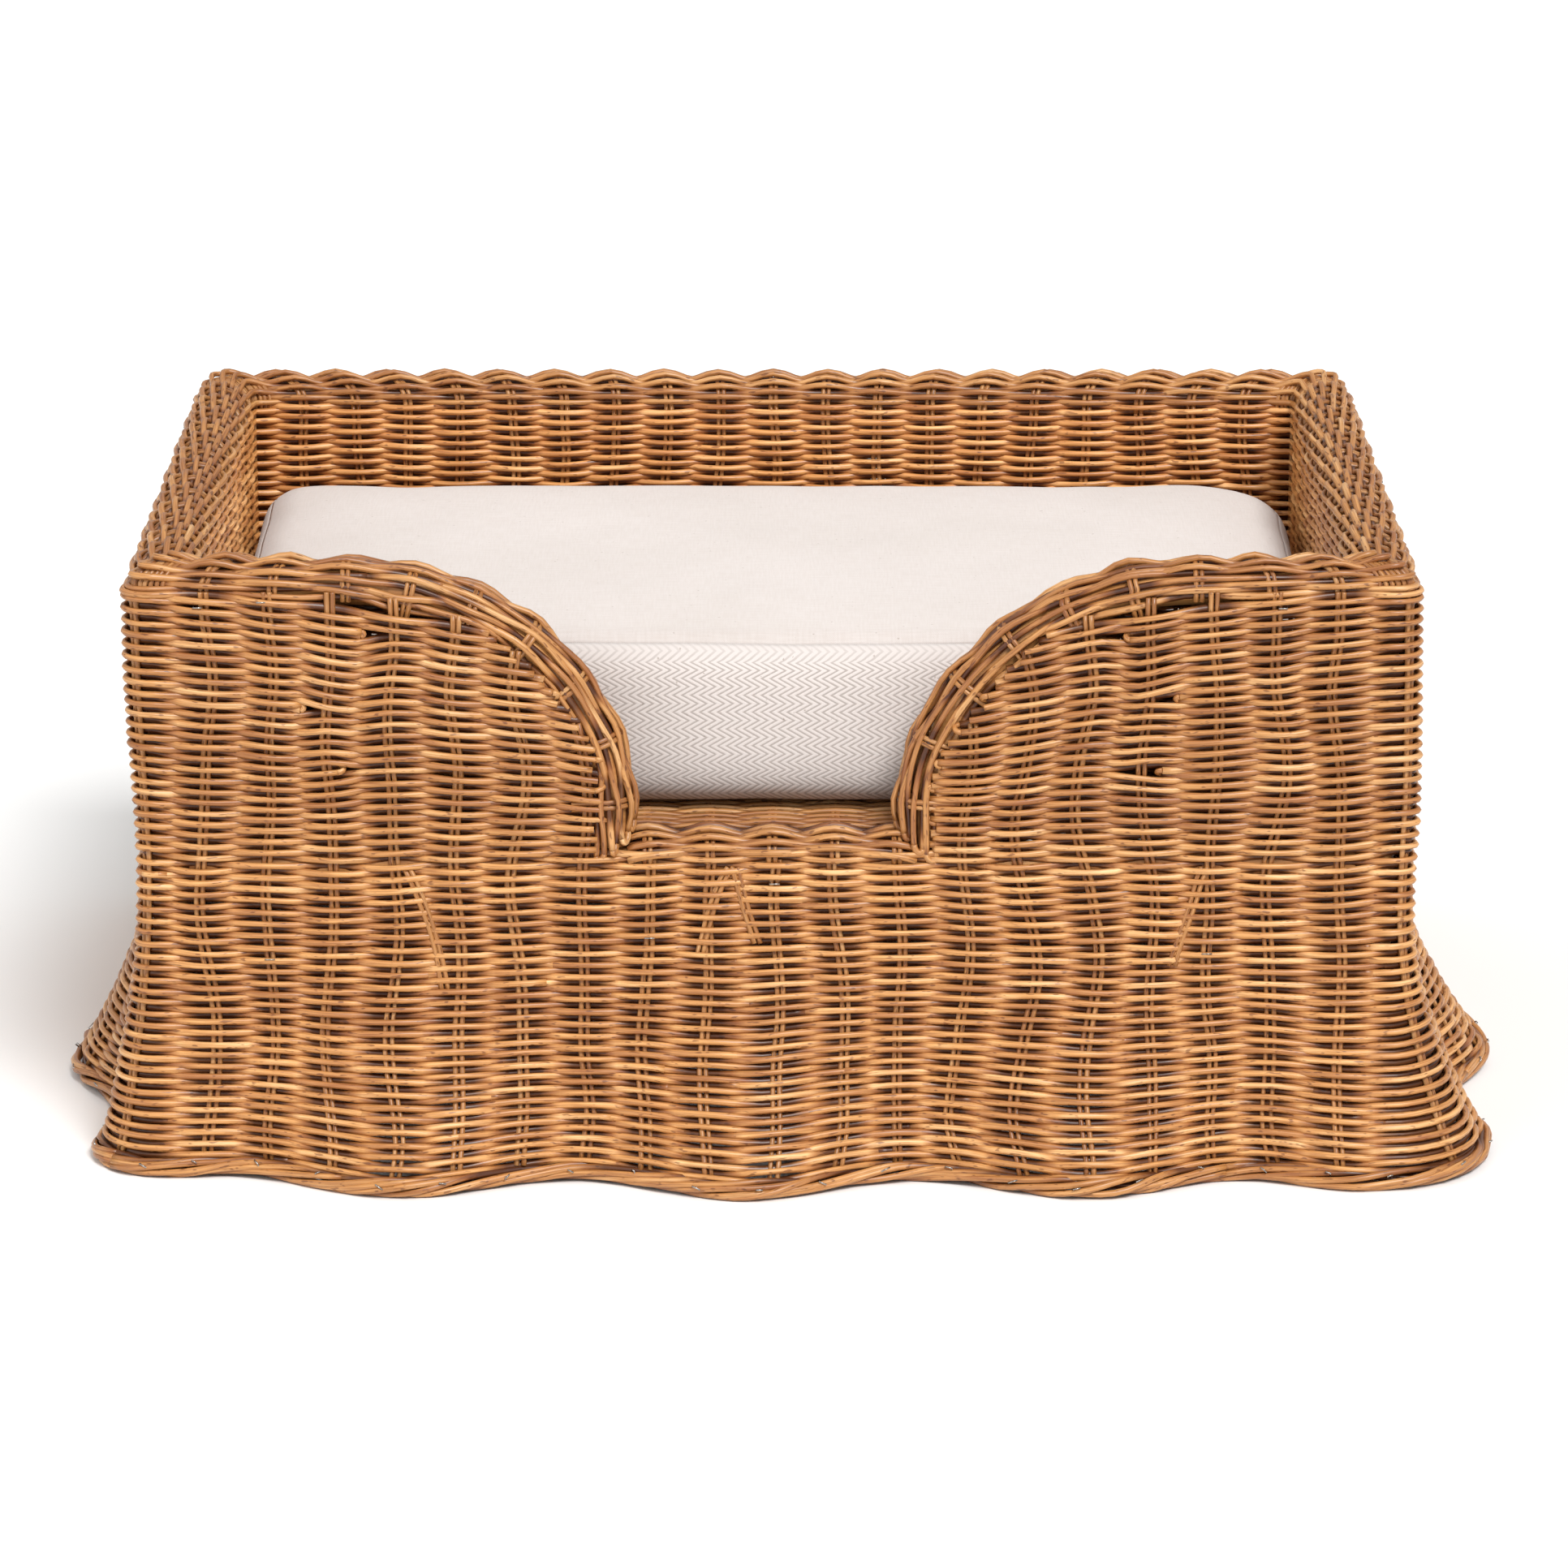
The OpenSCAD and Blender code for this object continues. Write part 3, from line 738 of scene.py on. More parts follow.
def slantedStakes(rng):
    # pairs let in at the waist that lean away from their neighbours
    strands = []
    for topK, lowK, reach in splitStakes:
        path = []
        for i in range(10):
            v = 0.02 + reach * i / 9
            point, normal = skirtPlace(topK + (lowK - topK) * (i / 9) ** 0.8, v, stakeRod["slantedDepth"])
            path.append((point, sidewaysOf(normal)))
        strands += pairOf(path, rng)
    return strands


def edgeHeight(x):
    # height of the middle line of the wing's edge at distance x from the middle
    start = entranceHalf + wing["curveWide"]
    if x >= start:
        return basket["rimLine"]
    share = clamp((start - x) / wingWide)
    return wingLow + (basket["rimLine"] - wingLow) * math.sqrt(1 - share ** 2)


def rimStakes(rng):
    # the pairs' bends over the rim, and the extra ones round the wings and at the corners
    strands = []
    middle = basket["rimRound"] - basket["stakePlane"]
    last = wing["levelGaps"] + int((wingEnd - levelRun - 20 * mm) / wingGap)
    ks = list(range(basket["gapsAcross"] - last, stakeCount + last + 1))
    ks += [corner + shift for corner in cornerGaps[1:] + cornerGaps[:1] for shift in stakeRod["bound"]]
    for k in ks:
        path = []
        for i in range(-1, 11):
            turn = clamp(18 * i, 0, 180)
            point = rimPlace(k, turn, middle)[0]
            path.append((point, (rimPlace(k + 0.02, turn, middle)[0] - point).normalized()))
        onWing = wing["levelGaps"] < k % stakeCount < basket["gapsAcross"] - wing["levelGaps"]
        down = rimPlace(k, 90, 1)[1] * (stakeRod["tails"][1 if onWing else 0] * mm)
        path[0] = (path[0][0] - down, path[0][1])
        path.append((path[-1][0] - down, path[-1][1]))
        strands += pairOf(path, rng)
        if onWing:  # a third rod where the stakes fan out round the wing
            strands += pairOf([(p + s * stakeRod["third"], s) for p, s in path], rng)[:1]
    return strands


def innerStakes(rng):
    strands = []
    plane = 2 * basket["rimRound"] - basket["stakePlane"]
    for k in range(stakeCount):
        spot = wallPlace(k, basket["rimLine"], plane)[0]
        onFront = 0 < k < basket["gapsAcross"]
        if onFront and abs(spot.x) < entranceHalf + 12 * mm:
            continue
        top = edgeHeight(abs(spot.x)) if onFront else basket["rimLine"]
        strands += pairOf(upWall([], k, basket["seatTop"] - 2 * mm, top, plane), rng)
    return strands


hemRope = {
    "strands": 7,
    "coil": (2.6 * mm, 4.5 * mm),  # least and most distance of a strand from the border's middle
    "radius": 1.8 * mm,
    "pitch": 165 * mm,
    "tuck": 1 * mm,
    "cuts": 4,
}


def hemPath():
    # the middle of the border, as points with their outward normals, all the way round
    path = []
    ks = [i / 5 for i in range(stakeCount * 5 + 1)]
    for k in sorted(set(ks + [k for k in closeSteps if 0 < k < stakeCount])):
        spot, normal, share, across = planPoint(k, 0)
        out = flare(spot, share, across, 1) - hemRope["tuck"]
        path.append((spot + normal * out + up * (skirtShape["hem"] / 2), normal))
    return path


def hemStrands(rng):
    strands = []
    path = hemPath()
    total = sum((path[i + 1][0] - path[i][0]).length for i in range(len(path) - 1))
    turns = round(total / hemRope["pitch"])
    low, high = hemRope["coil"]
    for n in range(hemRope["strands"]):
        points, depths = [], []
        gone, last = 0.0, path[0][0]
        seed = rng.random() * 40
        for point, normal in path:
            gone += (point - last).length
            last = point
            way = 2 * math.pi * gone / total
            a = 2 * math.pi * (turns * gone / total + n / hemRope["strands"])
            a += 1.3 * noise.noise(Vector((math.cos(way) * 7, math.sin(way) * 7, seed)))
            inner = clamp(0.5 + 1.1 * noise.noise(Vector((math.cos(way) * 9, math.sin(way) * 9, seed + 5))))
            coil = low + (high - low) * inner
            depths.append(clamp(0.5 - 0.5 * math.cos(a) + 0.35 * (1 - inner)))
            points.append(point + normal * (coil * math.cos(a)) + up * (coil * math.sin(a)))
        cuts = sorted(rng.sample(range(20, len(points) - 20, 10), hemRope["cuts"]))
        for a, b in zip([0] + cuts, cuts + [len(points) - 1]):
            strand = oneStrand(points[a:b + 1], hemRope["radius"] * rng.uniform(0.92, 1.06), rng.random())
            strand["depths"] = depths[a:b + 1]
            strands.append(strand)
    return strands


staple = {
    "wire": 0.42 * mm,
    "legs": 3.2 * mm,
    "every": 5,  # points of the hem between two staples
    "proud": 6.1 * mm,  # distance from the border's middle
    "turns": (8, 55),  # degrees up from level
    "halves": (1.2, 2.8),  # mm, half the crown's length
    "surface": 0.4 * mm,
    "waistShare": 0.16,  # share of the stakes with a staple below the waist
    "rimShare": 0.4,  # and under the rim
}


def stapleWires(rng):
    # small wire staples along the hem, under the rim and at the waist
    wires = []

    def bend(point, normal, along, half):
        leg = normal * staple["legs"]
        a, b = point - along * half, point + along * half
        points = [a - leg, a, b, b - leg]
        wires.append({"points": points, "radii": [staple["wire"]] * 4, "tone": 0.5})

    path = hemPath()
    for i in range(3, len(path) - 3, staple["every"]):
        point, normal = path[i]
        along = (path[i + 1][0] - point).normalized()
        a = math.radians(rng.uniform(*staple["turns"]))
        face = normal * math.cos(a) + up * math.sin(a)
        slant = (along + face.cross(along) * rng.uniform(-0.9, 0.9)).normalized()
        bend(point + face * staple["proud"], face, slant, rng.uniform(*staple["halves"]) * mm)
    for k in range(stakeCount):
        if rng.random() < staple["waistShare"]:
            point, normal = skirtPlace(k, rng.uniform(0.01, 0.35), staple["surface"])
            bend(point, normal, sidewaysOf(normal), 2.6 * mm)
        if rng.random() < staple["rimShare"] and not 4 < k < 16:
            point, normal = wallPlace(k, basket["rimLine"] - rng.uniform(4, 9) * mm, staple["surface"])
            bend(point, normal, sidewaysOf(normal), 2.2 * mm)
    return wires


seatWeave = {
    "radius": 1.6 * mm,
    "swing": 1.4 * mm,
    "pointsPerGap": 4,
    "pieceGaps": (20, 30),
    "sway": 0.3 * mm,
    "under": 0.2,
    "pitch": 4.3 * mm,
    "gaps": 18,
}


def seatRows(rng):
    strands = []
    low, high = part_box("seat_weave")
    size, middle = high - low, (low.z + high.z) / 2
    count = round(size.y / seatWeave["pitch"])
    gaps = seatWeave["gaps"]
    for n in range(count):
        y = low.y + (n + 0.5) * size.y / count

        def strandAt(k, swing, lift, y=y):
            return Vector((low.x + size.x * k / gaps, y + lift, middle + swing))

        strands += weaveRow(strandAt, n, 0, gaps, seatWeave, rng)
    for k in range(1, gaps):
        x = low.x + size.x * k / gaps
        path = [(Vector((x, low.y + size.y * i / 20, middle)), Vector((1, 0, 0))) for i in range(21)]
        strands += pairOf(path, rng)
    return strands


# a crowned pad in three cloth panels round its filling
cushion = {
    "tuck": 6 * mm,  # how much smaller the pad starts before it swells
    "corner": 40 * mm,  # corner radius in plan
    "backLeft": 32 * mm,
    "backRight": 62 * mm,
    "edge": 21 * mm,  # rounding of the top and bottom edges
    "bottomSeam": 3 * mm,  # height of the lower seam, tucked out of sight
    "voxel": 6.5 * mm,
    "pressure": 4,
    "swell": 9 * mm,  # furthest a point may move
    "crown": 5 * mm,  # how much higher the middle of the top is than its edge
    "crownIn": 90 * mm,  # distance from the edge where it's full
    "crownDrop": 4.5 * mm,  # how far its edge lies under the top
    "seamDepth": 0.05 * mm,
    "seamWide": 4 * mm,
    "ease": 6,  # smoothing rounds that soften the top edge
    "cloth": 1 * mm,
    "pucker": 0.3 * mm,
    "soft": (0.7 * mm, 0.4 * mm),  # wide and narrow unevenness of the cloth
    "zipRoom": (6 * mm, 4 * mm),  # flat margin round the zip's tape, along and up
    "filling": 2.6 * mm,  # depth of the filling under the cloth
}
cushionLow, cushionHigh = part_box("cushion_bottom_panel")[0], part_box("cushion_top_panel")[1]
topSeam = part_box("cushion_boxing")[1].z - 2 * mm
bottomSeam = cushionLow.z + cushion["bottomSeam"]
zipLow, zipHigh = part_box("zip_tape")
cushionMid = (cushionLow + cushionHigh) / 2
cushionHalf = (cushionHigh - cushionLow) / 2


def outlinePlace(x, y):
    # distance round the cushion's outline, starting at the middle of the back, and the whole length
    r = cushion["corner"]
    runX, runY = cushionHalf.x - r, cushionHalf.y - r
    arc = r * math.pi / 2
    whole = 4 * (runX + runY + arc)
    ax, ay = abs(x), abs(y)
    if ax > runX and ay > runY:
        quarter = runX + r * math.atan2(ax - runX, ay - runY)
    elif ax - runX > ay - runY:
        quarter = runX + arc + (runY - ay)
    else:
        quarter = ax
    if y < 0:
        quarter = whole / 2 - quarter
    return (quarter if x > 0 else whole - quarter), whole


def relax(bm):  # one even round of smoothing
    bmesh.ops.smooth_vert(bm, verts=bm.verts, factor=0.5, use_axis_x=True, use_axis_y=True, use_axis_z=True)


def cushionStart():
    bm = bmesh.new()
    bmesh.ops.create_cube(bm, size=1)
    size = (cushionHalf - Vector((1, 1, 0.35)) * cushion["tuck"]) * 2
    bmesh.ops.scale(bm, vec=size, verts=bm.verts)
    corners = ((-1, -1, cushion["corner"]), (1, -1, cushion["corner"]), (-1, 1, cushion["backLeft"]),
               (1, 1, cushion["backRight"]))
    for x, y, radius in corners:
        upright = [e for e in bm.edges if abs(e.verts[0].co.z - e.verts[1].co.z) > size.z / 2]
        edges = [e for e in upright
                 if e.verts[0].co.x * x > size.x * 0.499 and e.verts[0].co.y * y > size.y * 0.499]
        bmesh.ops.bevel(bm, geom=edges, offset=radius, segments=8, profile=0.5, affect="EDGES", material=-1)
    edges = [e for e in bm.edges if abs(e.verts[0].co.z - e.verts[1].co.z) < mm and not e.is_boundary]
    bmesh.ops.bevel(bm, geom=edges, offset=cushion["edge"], segments=5, profile=0.5, affect="EDGES",
                    material=-1)
    bmesh.ops.translate(bm, vec=cushionMid, verts=bm.verts)
    return objectFrom(bm, "cushionPad")


def asMesh(piece):
    view = bpy.context.evaluated_depsgraph_get()
    return bpy.data.meshes.new_from_object(piece.evaluated_get(view))


def swollenCushion():
    # returns a bmesh whose "start" layer keeps every point's place before it swelled
    pad = cushionStart()
    remesh = pad.modifiers.new("remesh", "REMESH")
    remesh.mode = "VOXEL"
    remesh.voxel_size = cushion["voxel"]
    mesh = asMesh(pad)
    pad.modifiers.clear()
    pad.data = mesh
    begin = [v.co.copy() for v in mesh.vertices]
    moved = begin
    cloth = pad.modifiers.new("cloth", "CLOTH")
    cloth.settings.quality = 5
    cloth.settings.use_pressure = True
    cloth.settings.uniform_pressure_force = cushion["pressure"]
    cloth.settings.effector_weights.gravity = 0
    cloth.point_cache.frame_start = 1
    cloth.point_cache.frame_end = 20
    for i in range(1, 21):
        bpy.context.scene.frame_set(i)
    moved = [v.co.copy() for v in asMesh(pad).vertices]
    pad.modifiers.clear()
    bpy.context.scene.frame_set(1)
    bm = bmesh.new()
    bm.from_mesh(mesh)
    start = bm.verts.layers.float_vector.new("start")
    for v, a, b in zip(bm.verts, begin, moved):
        v[start] = a
        push = b - a
        if push.length > cushion["swell"]:
            push.length = cushion["swell"]
        v.co = a + push
    for v in bm.verts:  # most of the swelling goes to the crown
        away = v[start] - cushionMid
        edgeIn = min(cushionHalf.x - abs(away.x), cushionHalf.y - abs(away.y))
        crown = cushion["crown"] * clamp(edgeIn / cushion["crownIn"]) ** 0.6 - cushion["crownDrop"]
        v.co.z = min(v.co.z, cushionHigh.z + crown) if away.z > 0 else max(v.co.z, cushionLow.z + 0.5 * mm)
    for i in range(cushion["ease"]):
        relax(bm)
    for axis in (0, 1):  # the swelling draws the sides in, so they're let out again
        reach = max(abs(v.co[axis] - cushionMid[axis]) for v in bm.verts)
        for v in bm.verts:
            v.co[axis] = cushionMid[axis] + (v.co[axis] - cushionMid[axis]) * cushionHalf[axis] / reach
    bpy.data.objects.remove(pad)
    relax(bm)
    bmesh.ops.subdivide_edges(bm, edges=bm.edges, cuts=1, use_grid_fill=True, smooth=0.6)
    relax(bm)
    bm.normal_update()
    return bm, start


def shapeCushion(bm, start):
    # soft creases, puckers along both seams, and the limits that the basket and the zip set
    roomAlong, roomUp = cushion["zipRoom"]
    wideSoft, fineSoft = cushion["soft"]
    for v in bm.verts:
        rest = v[start]
        along, whole = outlinePlace(rest.x - cushionMid.x, rest.y - cushionMid.y)
        side = clamp((min(rest.z, cushionLow.z + 1) - cushionLow.z - 6 * mm) / (6 * mm))
        soft = noise.noise(rest * 7) * wideSoft + noise.noise(rest * 24 + Vector((3, 8, 1))) * fineSoft
        crease = 0.0
        for seam in (topSeam, bottomSeam):
            gap = abs(rest.z - seam)
            groove = math.exp(-(gap / (cushion["seamWide"] * 0.5)) ** 2)
            onWall = 1 if bottomSeam - 2 * mm < rest.z < topSeam + 2 * mm else 0.5
            ripple = noise.noise(Vector((along * 55, seam * 40, 0)))
            crease -= cushion["seamDepth"] * groove
            crease += cushion["pucker"] * ripple * math.exp(-gap / (9 * mm)) * onWall
        v.co += v.normal * (soft * side + crease)
        v.co.x = clamp(v.co.x, cushionLow.x - 2.5 * mm, cushionHigh.x + 2.5 * mm)
        v.co.z = clamp(v.co.z, cushionLow.z + 0.3 * mm, cushionHigh.z + 4 * mm)
        v.co.y = clamp(v.co.y, cushionLow.y - 5 * mm, cushionHigh.y + 2 * mm)
        besideZip = abs(v.co.x) < zipHigh.x + roomAlong and zipLow.z - roomUp < v.co.z < zipHigh.z + roomUp
        if besideZip and v.co.y > 0:
            v.co.y = min(v.co.y, zipLow.y - 0.2 * mm)
    bm.normal_update()


def clothPanel(source, start, name, low, high, lie):
    # the part of the pad that starts between heights low and high, as a cloth with its own pattern places
    bm = source.copy()
    layer = bm.verts.layers.float_vector["start"]
    gone = [f for f in bm.faces if not low <= sum(v[layer].z for v in f.verts) / len(f.verts) < high]
    bmesh.ops.delete(bm, geom=gone, context="FACES")
    uv = bm.loops.layers.uv.new("cloth")
    for face in bm.faces:
        spots = []
        for loop in face.loops:
            rest = loop.vert[layer]
            along, whole = outlinePlace(rest.x - cushionMid.x, rest.y - cushionMid.y)
            spots.append((along, rest.z) if lie == "round" else (rest.x, rest.y))
        if lie == "round" and max(s[0] for s in spots) - min(s[0] for s in spots) > whole / 2:
            spots = [(a + whole if a < whole / 2 else a, z) for a, z in spots]
        for loop, spot in zip(face.loops, spots):
            loop[uv].uv = spot
        face.smooth = True
    piece = objectFrom(bm, name)
    thick = piece.modifiers.new("thickness", "SOLIDIFY")
    thick.thickness = cushion["cloth"]
    thick.offset = -1
    return piece


def cushionFilling(source):
    bm = source.copy()
    relax(bm)
    bm.normal_update()
    for v in bm.verts:
        v.co -= v.normal * cushion["filling"]
    for f in bm.faces:
        f.smooth = True
    return objectFrom(bm, "cushionFilling")


zipTeeth = {
    "turn": 1.5 * mm,
    "wire": 0.33 * mm,
    "pointsPerTurn": 8,
    "tall": 1.45 * mm,  # half height of each row's coil
    "deep": 0.6 * mm,
    "apart": 1.15 * mm,
}


def zipTeethStrands():
    low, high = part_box("zip_coil")
    middle = (low + high) / 2
    strands = []
    for side in (-1, 1):
        points = []
        count = int((high.x - low.x) / zipTeeth["turn"] * zipTeeth["pointsPerTurn"])
        for i in range(count):
            a = 2 * math.pi * i / zipTeeth["pointsPerTurn"]
            x = low.x + (high.x - low.x) * i / count
            z = middle.z + zipTeeth["apart"] * side + zipTeeth["tall"] * math.cos(a)
            points.append(Vector((x, middle.y + zipTeeth["deep"] * math.sin(a), z)))
        strands.append(oneStrand(points, zipTeeth["wire"], 0.5))
    return strands


def newFinish(name, settings):
    material = bpy.data.materials.new(name)
    material.use_nodes = True
    tree = material.node_tree
    shader = tree.nodes["Principled BSDF"]
    for key, value in settings.items():
        shader.inputs[key].default_value = value
    return material, tree, shader


def addNode(tree, kind, values=None, **options):
    made = tree.nodes.new("ShaderNode" + kind)
    for key, value in options.items():
        setattr(made, key, value)
    for key, value in (values or {}).items():
        if isinstance(value, bpy.types.NodeSocket):
            tree.links.new(value, made.inputs[key])
        else:
            made.inputs[key].default_value = value
    return made


def ramp(tree, factor, *stops):
    made = addNode(tree, "ValToRGB", {"Fac": factor})
    band = made.color_ramp
    while len(band.elements) < len(stops):
        band.elements.new(0.5)
    for element, (where, colour) in zip(band.elements, stops):
        element.position = where
        element.color = (*colour, 1)
    return made.outputs["Color"]


def mixColour(tree, how, factor, a, b):
    made = addNode(tree, "Mix", data_type="RGBA", blend_type=how)
    for slotIndex, value in ((0, factor), (6, a), (7, b)):
        if isinstance(value, bpy.types.NodeSocket):
            tree.links.new(value, made.inputs[slotIndex])
        else:
            made.inputs[slotIndex].default_value = value if slotIndex == 0 else (*value, 1)
    return made.outputs[2]


def sums(tree, how, a, b=0.0, c=0.0):
    return addNode(tree, "Math", {0: a, 1: b, 2: c}, operation=how).outputs[0]


def noiseOn(tree, where, scale, detail=2, **more):
    made = addNode(tree, "TexNoise", {"Vector": where, "Scale": scale, "Detail": detail, **more})
    return made.outputs["Fac"]


def stretched(tree, where, scale, detail):
    # noise drawn out along one direction
    spot = addNode(tree, "Mapping", {"Vector": where, "Scale": scale}).outputs[0]
    return noiseOn(tree, spot, 1, detail)


def objectSpot(tree):
    return addNode(tree, "TexCoord").outputs["Object"]


def feed(tree, shader, colour, roughness=None):
    tree.links.new(colour, shader.inputs["Base Color"])
    if roughness:
        tree.links.new(roughness, shader.inputs["Roughness"])


def newGroup(name, inputs, outputs):
    group = bpy.data.node_groups.new(name, "ShaderNodeTree")
    for label, kind in inputs:
        group.interface.new_socket(label, in_out="INPUT", socket_type="NodeSocket" + kind)
    for label, kind in outputs:
        group.interface.new_socket(label, in_out="OUTPUT", socket_type="NodeSocket" + kind)
    return group, group.nodes.new("NodeGroupInput"), group.nodes.new("NodeGroupOutput")


def caneGrainGroup():
    # the grain of cane: long fibres, slow blotches and a few dark scars, with painted shade where a strand
    # runs in behind its neighbours
    group, given, out = newGroup("caneGrain", [("Place", "Vector"), ("Tone", "Float"), ("Depth", "Float")],
                                 [("Colour", "Color"), ("Roughness", "Float"), ("Height", "Float")])
    where = given.outputs["Place"]
    fibre = stretched(group, where, (38, 1400, 1400), 3)
    blotch = stretched(group, where, (42, 300, 300), 2)
    scar = stretched(group, where, (170, 620, 620), 1)
    tone = sums(group, "MULTIPLY_ADD", given.outputs["Tone"], 0.5, sums(group, "SUBTRACT", blotch, 0.25))
    colour = ramp(group, tone, (0.05, (0.36, 0.135, 0.04)), (0.34, (0.50, 0.225, 0.072)),
                  (0.6, (0.64, 0.32, 0.106)), (0.95, (0.85, 0.53, 0.25)))
    # painted shade: the deeper a strand lies behind the stakes and the rows beside it, the darker its colour
    recessShade = ramp(group, given.outputs["Depth"], (0.42, (1, 1, 1)), (0.62, (0.62, 0.5, 0.4)),
                (0.86, (0.2, 0.125, 0.08)))
    colour = mixColour(group, "MULTIPLY", 1.0, colour, recessShade)
    lines = ramp(group, fibre, (0.36, (0.6, 0.47, 0.36)), (0.6, (1.08, 1.06, 1.04)))
    colour = mixColour(group, "MULTIPLY", 0.75, colour, lines)
    marks = ramp(group, scar, (0.3, (0.35, 0.24, 0.16)), (0.37, (1, 1, 1)))
    colour = mixColour(group, "MULTIPLY", 0.8, colour, marks)
    rough = sums(group, "MULTIPLY_ADD", fibre, 0.34, 0.24)
    height = sums(group, "MULTIPLY_ADD", fibre, 0.7, sums(group, "MULTIPLY", blotch, 0.3))
    group.links.new(colour, out.inputs["Colour"])
    group.links.new(rough, out.inputs["Roughness"])
    group.links.new(height, out.inputs["Height"])
    return group


def addBump(tree, shader, height, strength, distance):
    bump = addNode(tree, "Bump", {"Strength": strength, "Distance": distance, "Height": height})
    tree.links.new(bump.outputs["Normal"], shader.inputs["Normal"])


def caneFinish(name, paintedLight=1.0, warm=1.0):
    material, tree, shader = newFinish(name, {"Specular IOR Level": 0.5, "Coat Weight": 0.12,
                                              "Coat Roughness": 0.3})
    grain = addNode(tree, "Attribute", attribute_name="grain").outputs["Vector"]
    tone = addNode(tree, "Attribute", attribute_name="tone").outputs["Fac"]
    depth = addNode(tree, "Attribute", attribute_name="depth").outputs["Fac"]
    cane = addNode(tree, "Group", {"Place": grain, "Tone": tone, "Depth": depth}, node_tree=caneGrain)
    # the first factor scales the cane's colour: below 1 it is painted shade, above 1 painted light; warm
    # tips it towards orange
    shade = (paintedLight, paintedLight * warm, paintedLight * warm * warm)
    colour = mixColour(tree, "MULTIPLY", 1.0, cane.outputs["Colour"], shade)
    feed(tree, shader, colour, cane.outputs["Roughness"])
    addBump(tree, shader, cane.outputs["Height"], 0.35, 0.3 * mm)
    return material


def poleFinish():
    material, tree, shader = newFinish("peeledPole", {"Specular IOR Level": 0.5, "Coat Weight": 0.1})
    spot = objectSpot(tree)
    scaled = addNode(tree, "Mapping", {"Vector": spot, "Scale": (0.5, 0.12, 0.12)}).outputs[0]
    cane = addNode(tree, "Group", {"Place": scaled, "Tone": noiseOn(tree, spot, 22, 3)}, node_tree=caneGrain)
    feed(tree, shader, cane.outputs["Colour"], cane.outputs["Roughness"])
    addBump(tree, shader, cane.outputs["Height"], 0.3, 0.5 * mm)
    return material


def clothWeaveGroup():
    # plain woven threads across U and V, with slubs and stray dark specks
    group, given, out = newGroup("clothWeave", [("Place", "Vector"), ("Pitch", "Float")],
                                 [("Threads", "Float"), ("Slub", "Float"), ("Specks", "Float")])
    where = given.outputs["Place"]
    spots = addNode(group, "SeparateXYZ", {"Vector": where})
    waves = []
    for axis in (0, 1):
        turns = sums(group, "DIVIDE", spots.outputs[axis], given.outputs["Pitch"])
        waves.append(sums(group, "SINE", sums(group, "MULTIPLY", turns, 2 * math.pi)))
    threads = sums(group, "MULTIPLY_ADD", sums(group, "MULTIPLY", waves[0], waves[1]), 0.5, 0.5)
    slubs = [stretched(group, where, scale, 2) for scale in ((60, 900, 60), (900, 60, 60))]
    slub = sums(group, "MULTIPLY", sums(group, "ADD", slubs[0], slubs[1]), 0.5)
    speck = noiseOn(group, where, 330, 1)
    specks = addNode(group, "MapRange", {"Value": speck, "From Min": 0.735, "From Max": 0.78})
    group.links.new(threads, out.inputs["Threads"])
    group.links.new(slub, out.inputs["Slub"])
    group.links.new(specks.outputs["Result"], out.inputs["Specks"])
    return group


def clothSpots(tree, pitch):
    # the panel's own pattern coordinates, and the cloth's threads laid on them
    uv = addNode(tree, "UVMap", uv_map="cloth").outputs["UV"]
    return uv, addNode(tree, "Group", {"Pitch": pitch, "Place": uv}, node_tree=clothWeave)


def speckled(tree, colour, weave, dark):
    return mixColour(tree, "MIX", sums(tree, "MULTIPLY", weave.outputs["Specks"], 0.5), colour, dark)


def plainClothFinish():
    material, tree, shader = newFinish("creamCanvas", {"Roughness": 0.9, "Specular IOR Level": 0.2,
                                                       "Sheen Weight": 0.25, "Sheen Roughness": 0.5})
    uv, weave = clothSpots(tree, 1.1 * mm)
    base = ramp(tree, noiseOn(tree, uv, 7, 3), (0.3, (0.69, 0.63, 0.595)), (0.7, (0.74, 0.68, 0.65)))
    shade = ramp(tree, weave.outputs["Slub"], (0.4, (0.93, 0.915, 0.90)), (0.6, (1, 1, 1)))
    colour = mixColour(tree, "MULTIPLY", 0.8, base, shade)
    gaps = ramp(tree, weave.outputs["Threads"], (0.1, (0.9, 0.88, 0.86)), (0.5, (1, 1, 1)))
    colour = mixColour(tree, "MULTIPLY", 0.6, colour, gaps)
    colour = speckled(tree, colour, weave, (0.32, 0.25, 0.2))
    spots = addNode(tree, "SeparateXYZ", {"Vector": uv})
    past = []
    for axis in (0, 1):  # painted shade: the cloth is darker where it turns down over the edge
        across = sums(tree, "ABSOLUTE", sums(tree, "SUBTRACT", spots.outputs[axis], cushionMid[axis]))
        past.append(sums(tree, "SUBTRACT", across, cushionHalf[axis]))
    past = sums(tree, "MAXIMUM", past[0], past[1])
    turned = addNode(tree, "MapRange", {"Value": past, "From Min": -34 * mm, "From Max": -12 * mm},
                     interpolation_type="SMOOTHSTEP")
    # the colour there is multiplied down as painted shade over the rounded edge
    feed(tree, shader, mixColour(tree, "MULTIPLY", turned.outputs["Result"], colour, (0.86, 0.855, 0.855)))
    addBump(tree, shader, sums(tree, "ADD", weave.outputs["Threads"], weave.outputs["Slub"]), 0.3, 0.25 * mm)
    return material


herringbone = {
    "band": 4.9 * mm,  # height of one level band
    "rise": 2.85 * mm,  # distance between two ribs, measured up
    "slope": math.tan(math.radians(31)),
    "fade": 10 * mm,  # how near the seam the pattern fades to a flat colour, darker than the cloth as painted shade
}


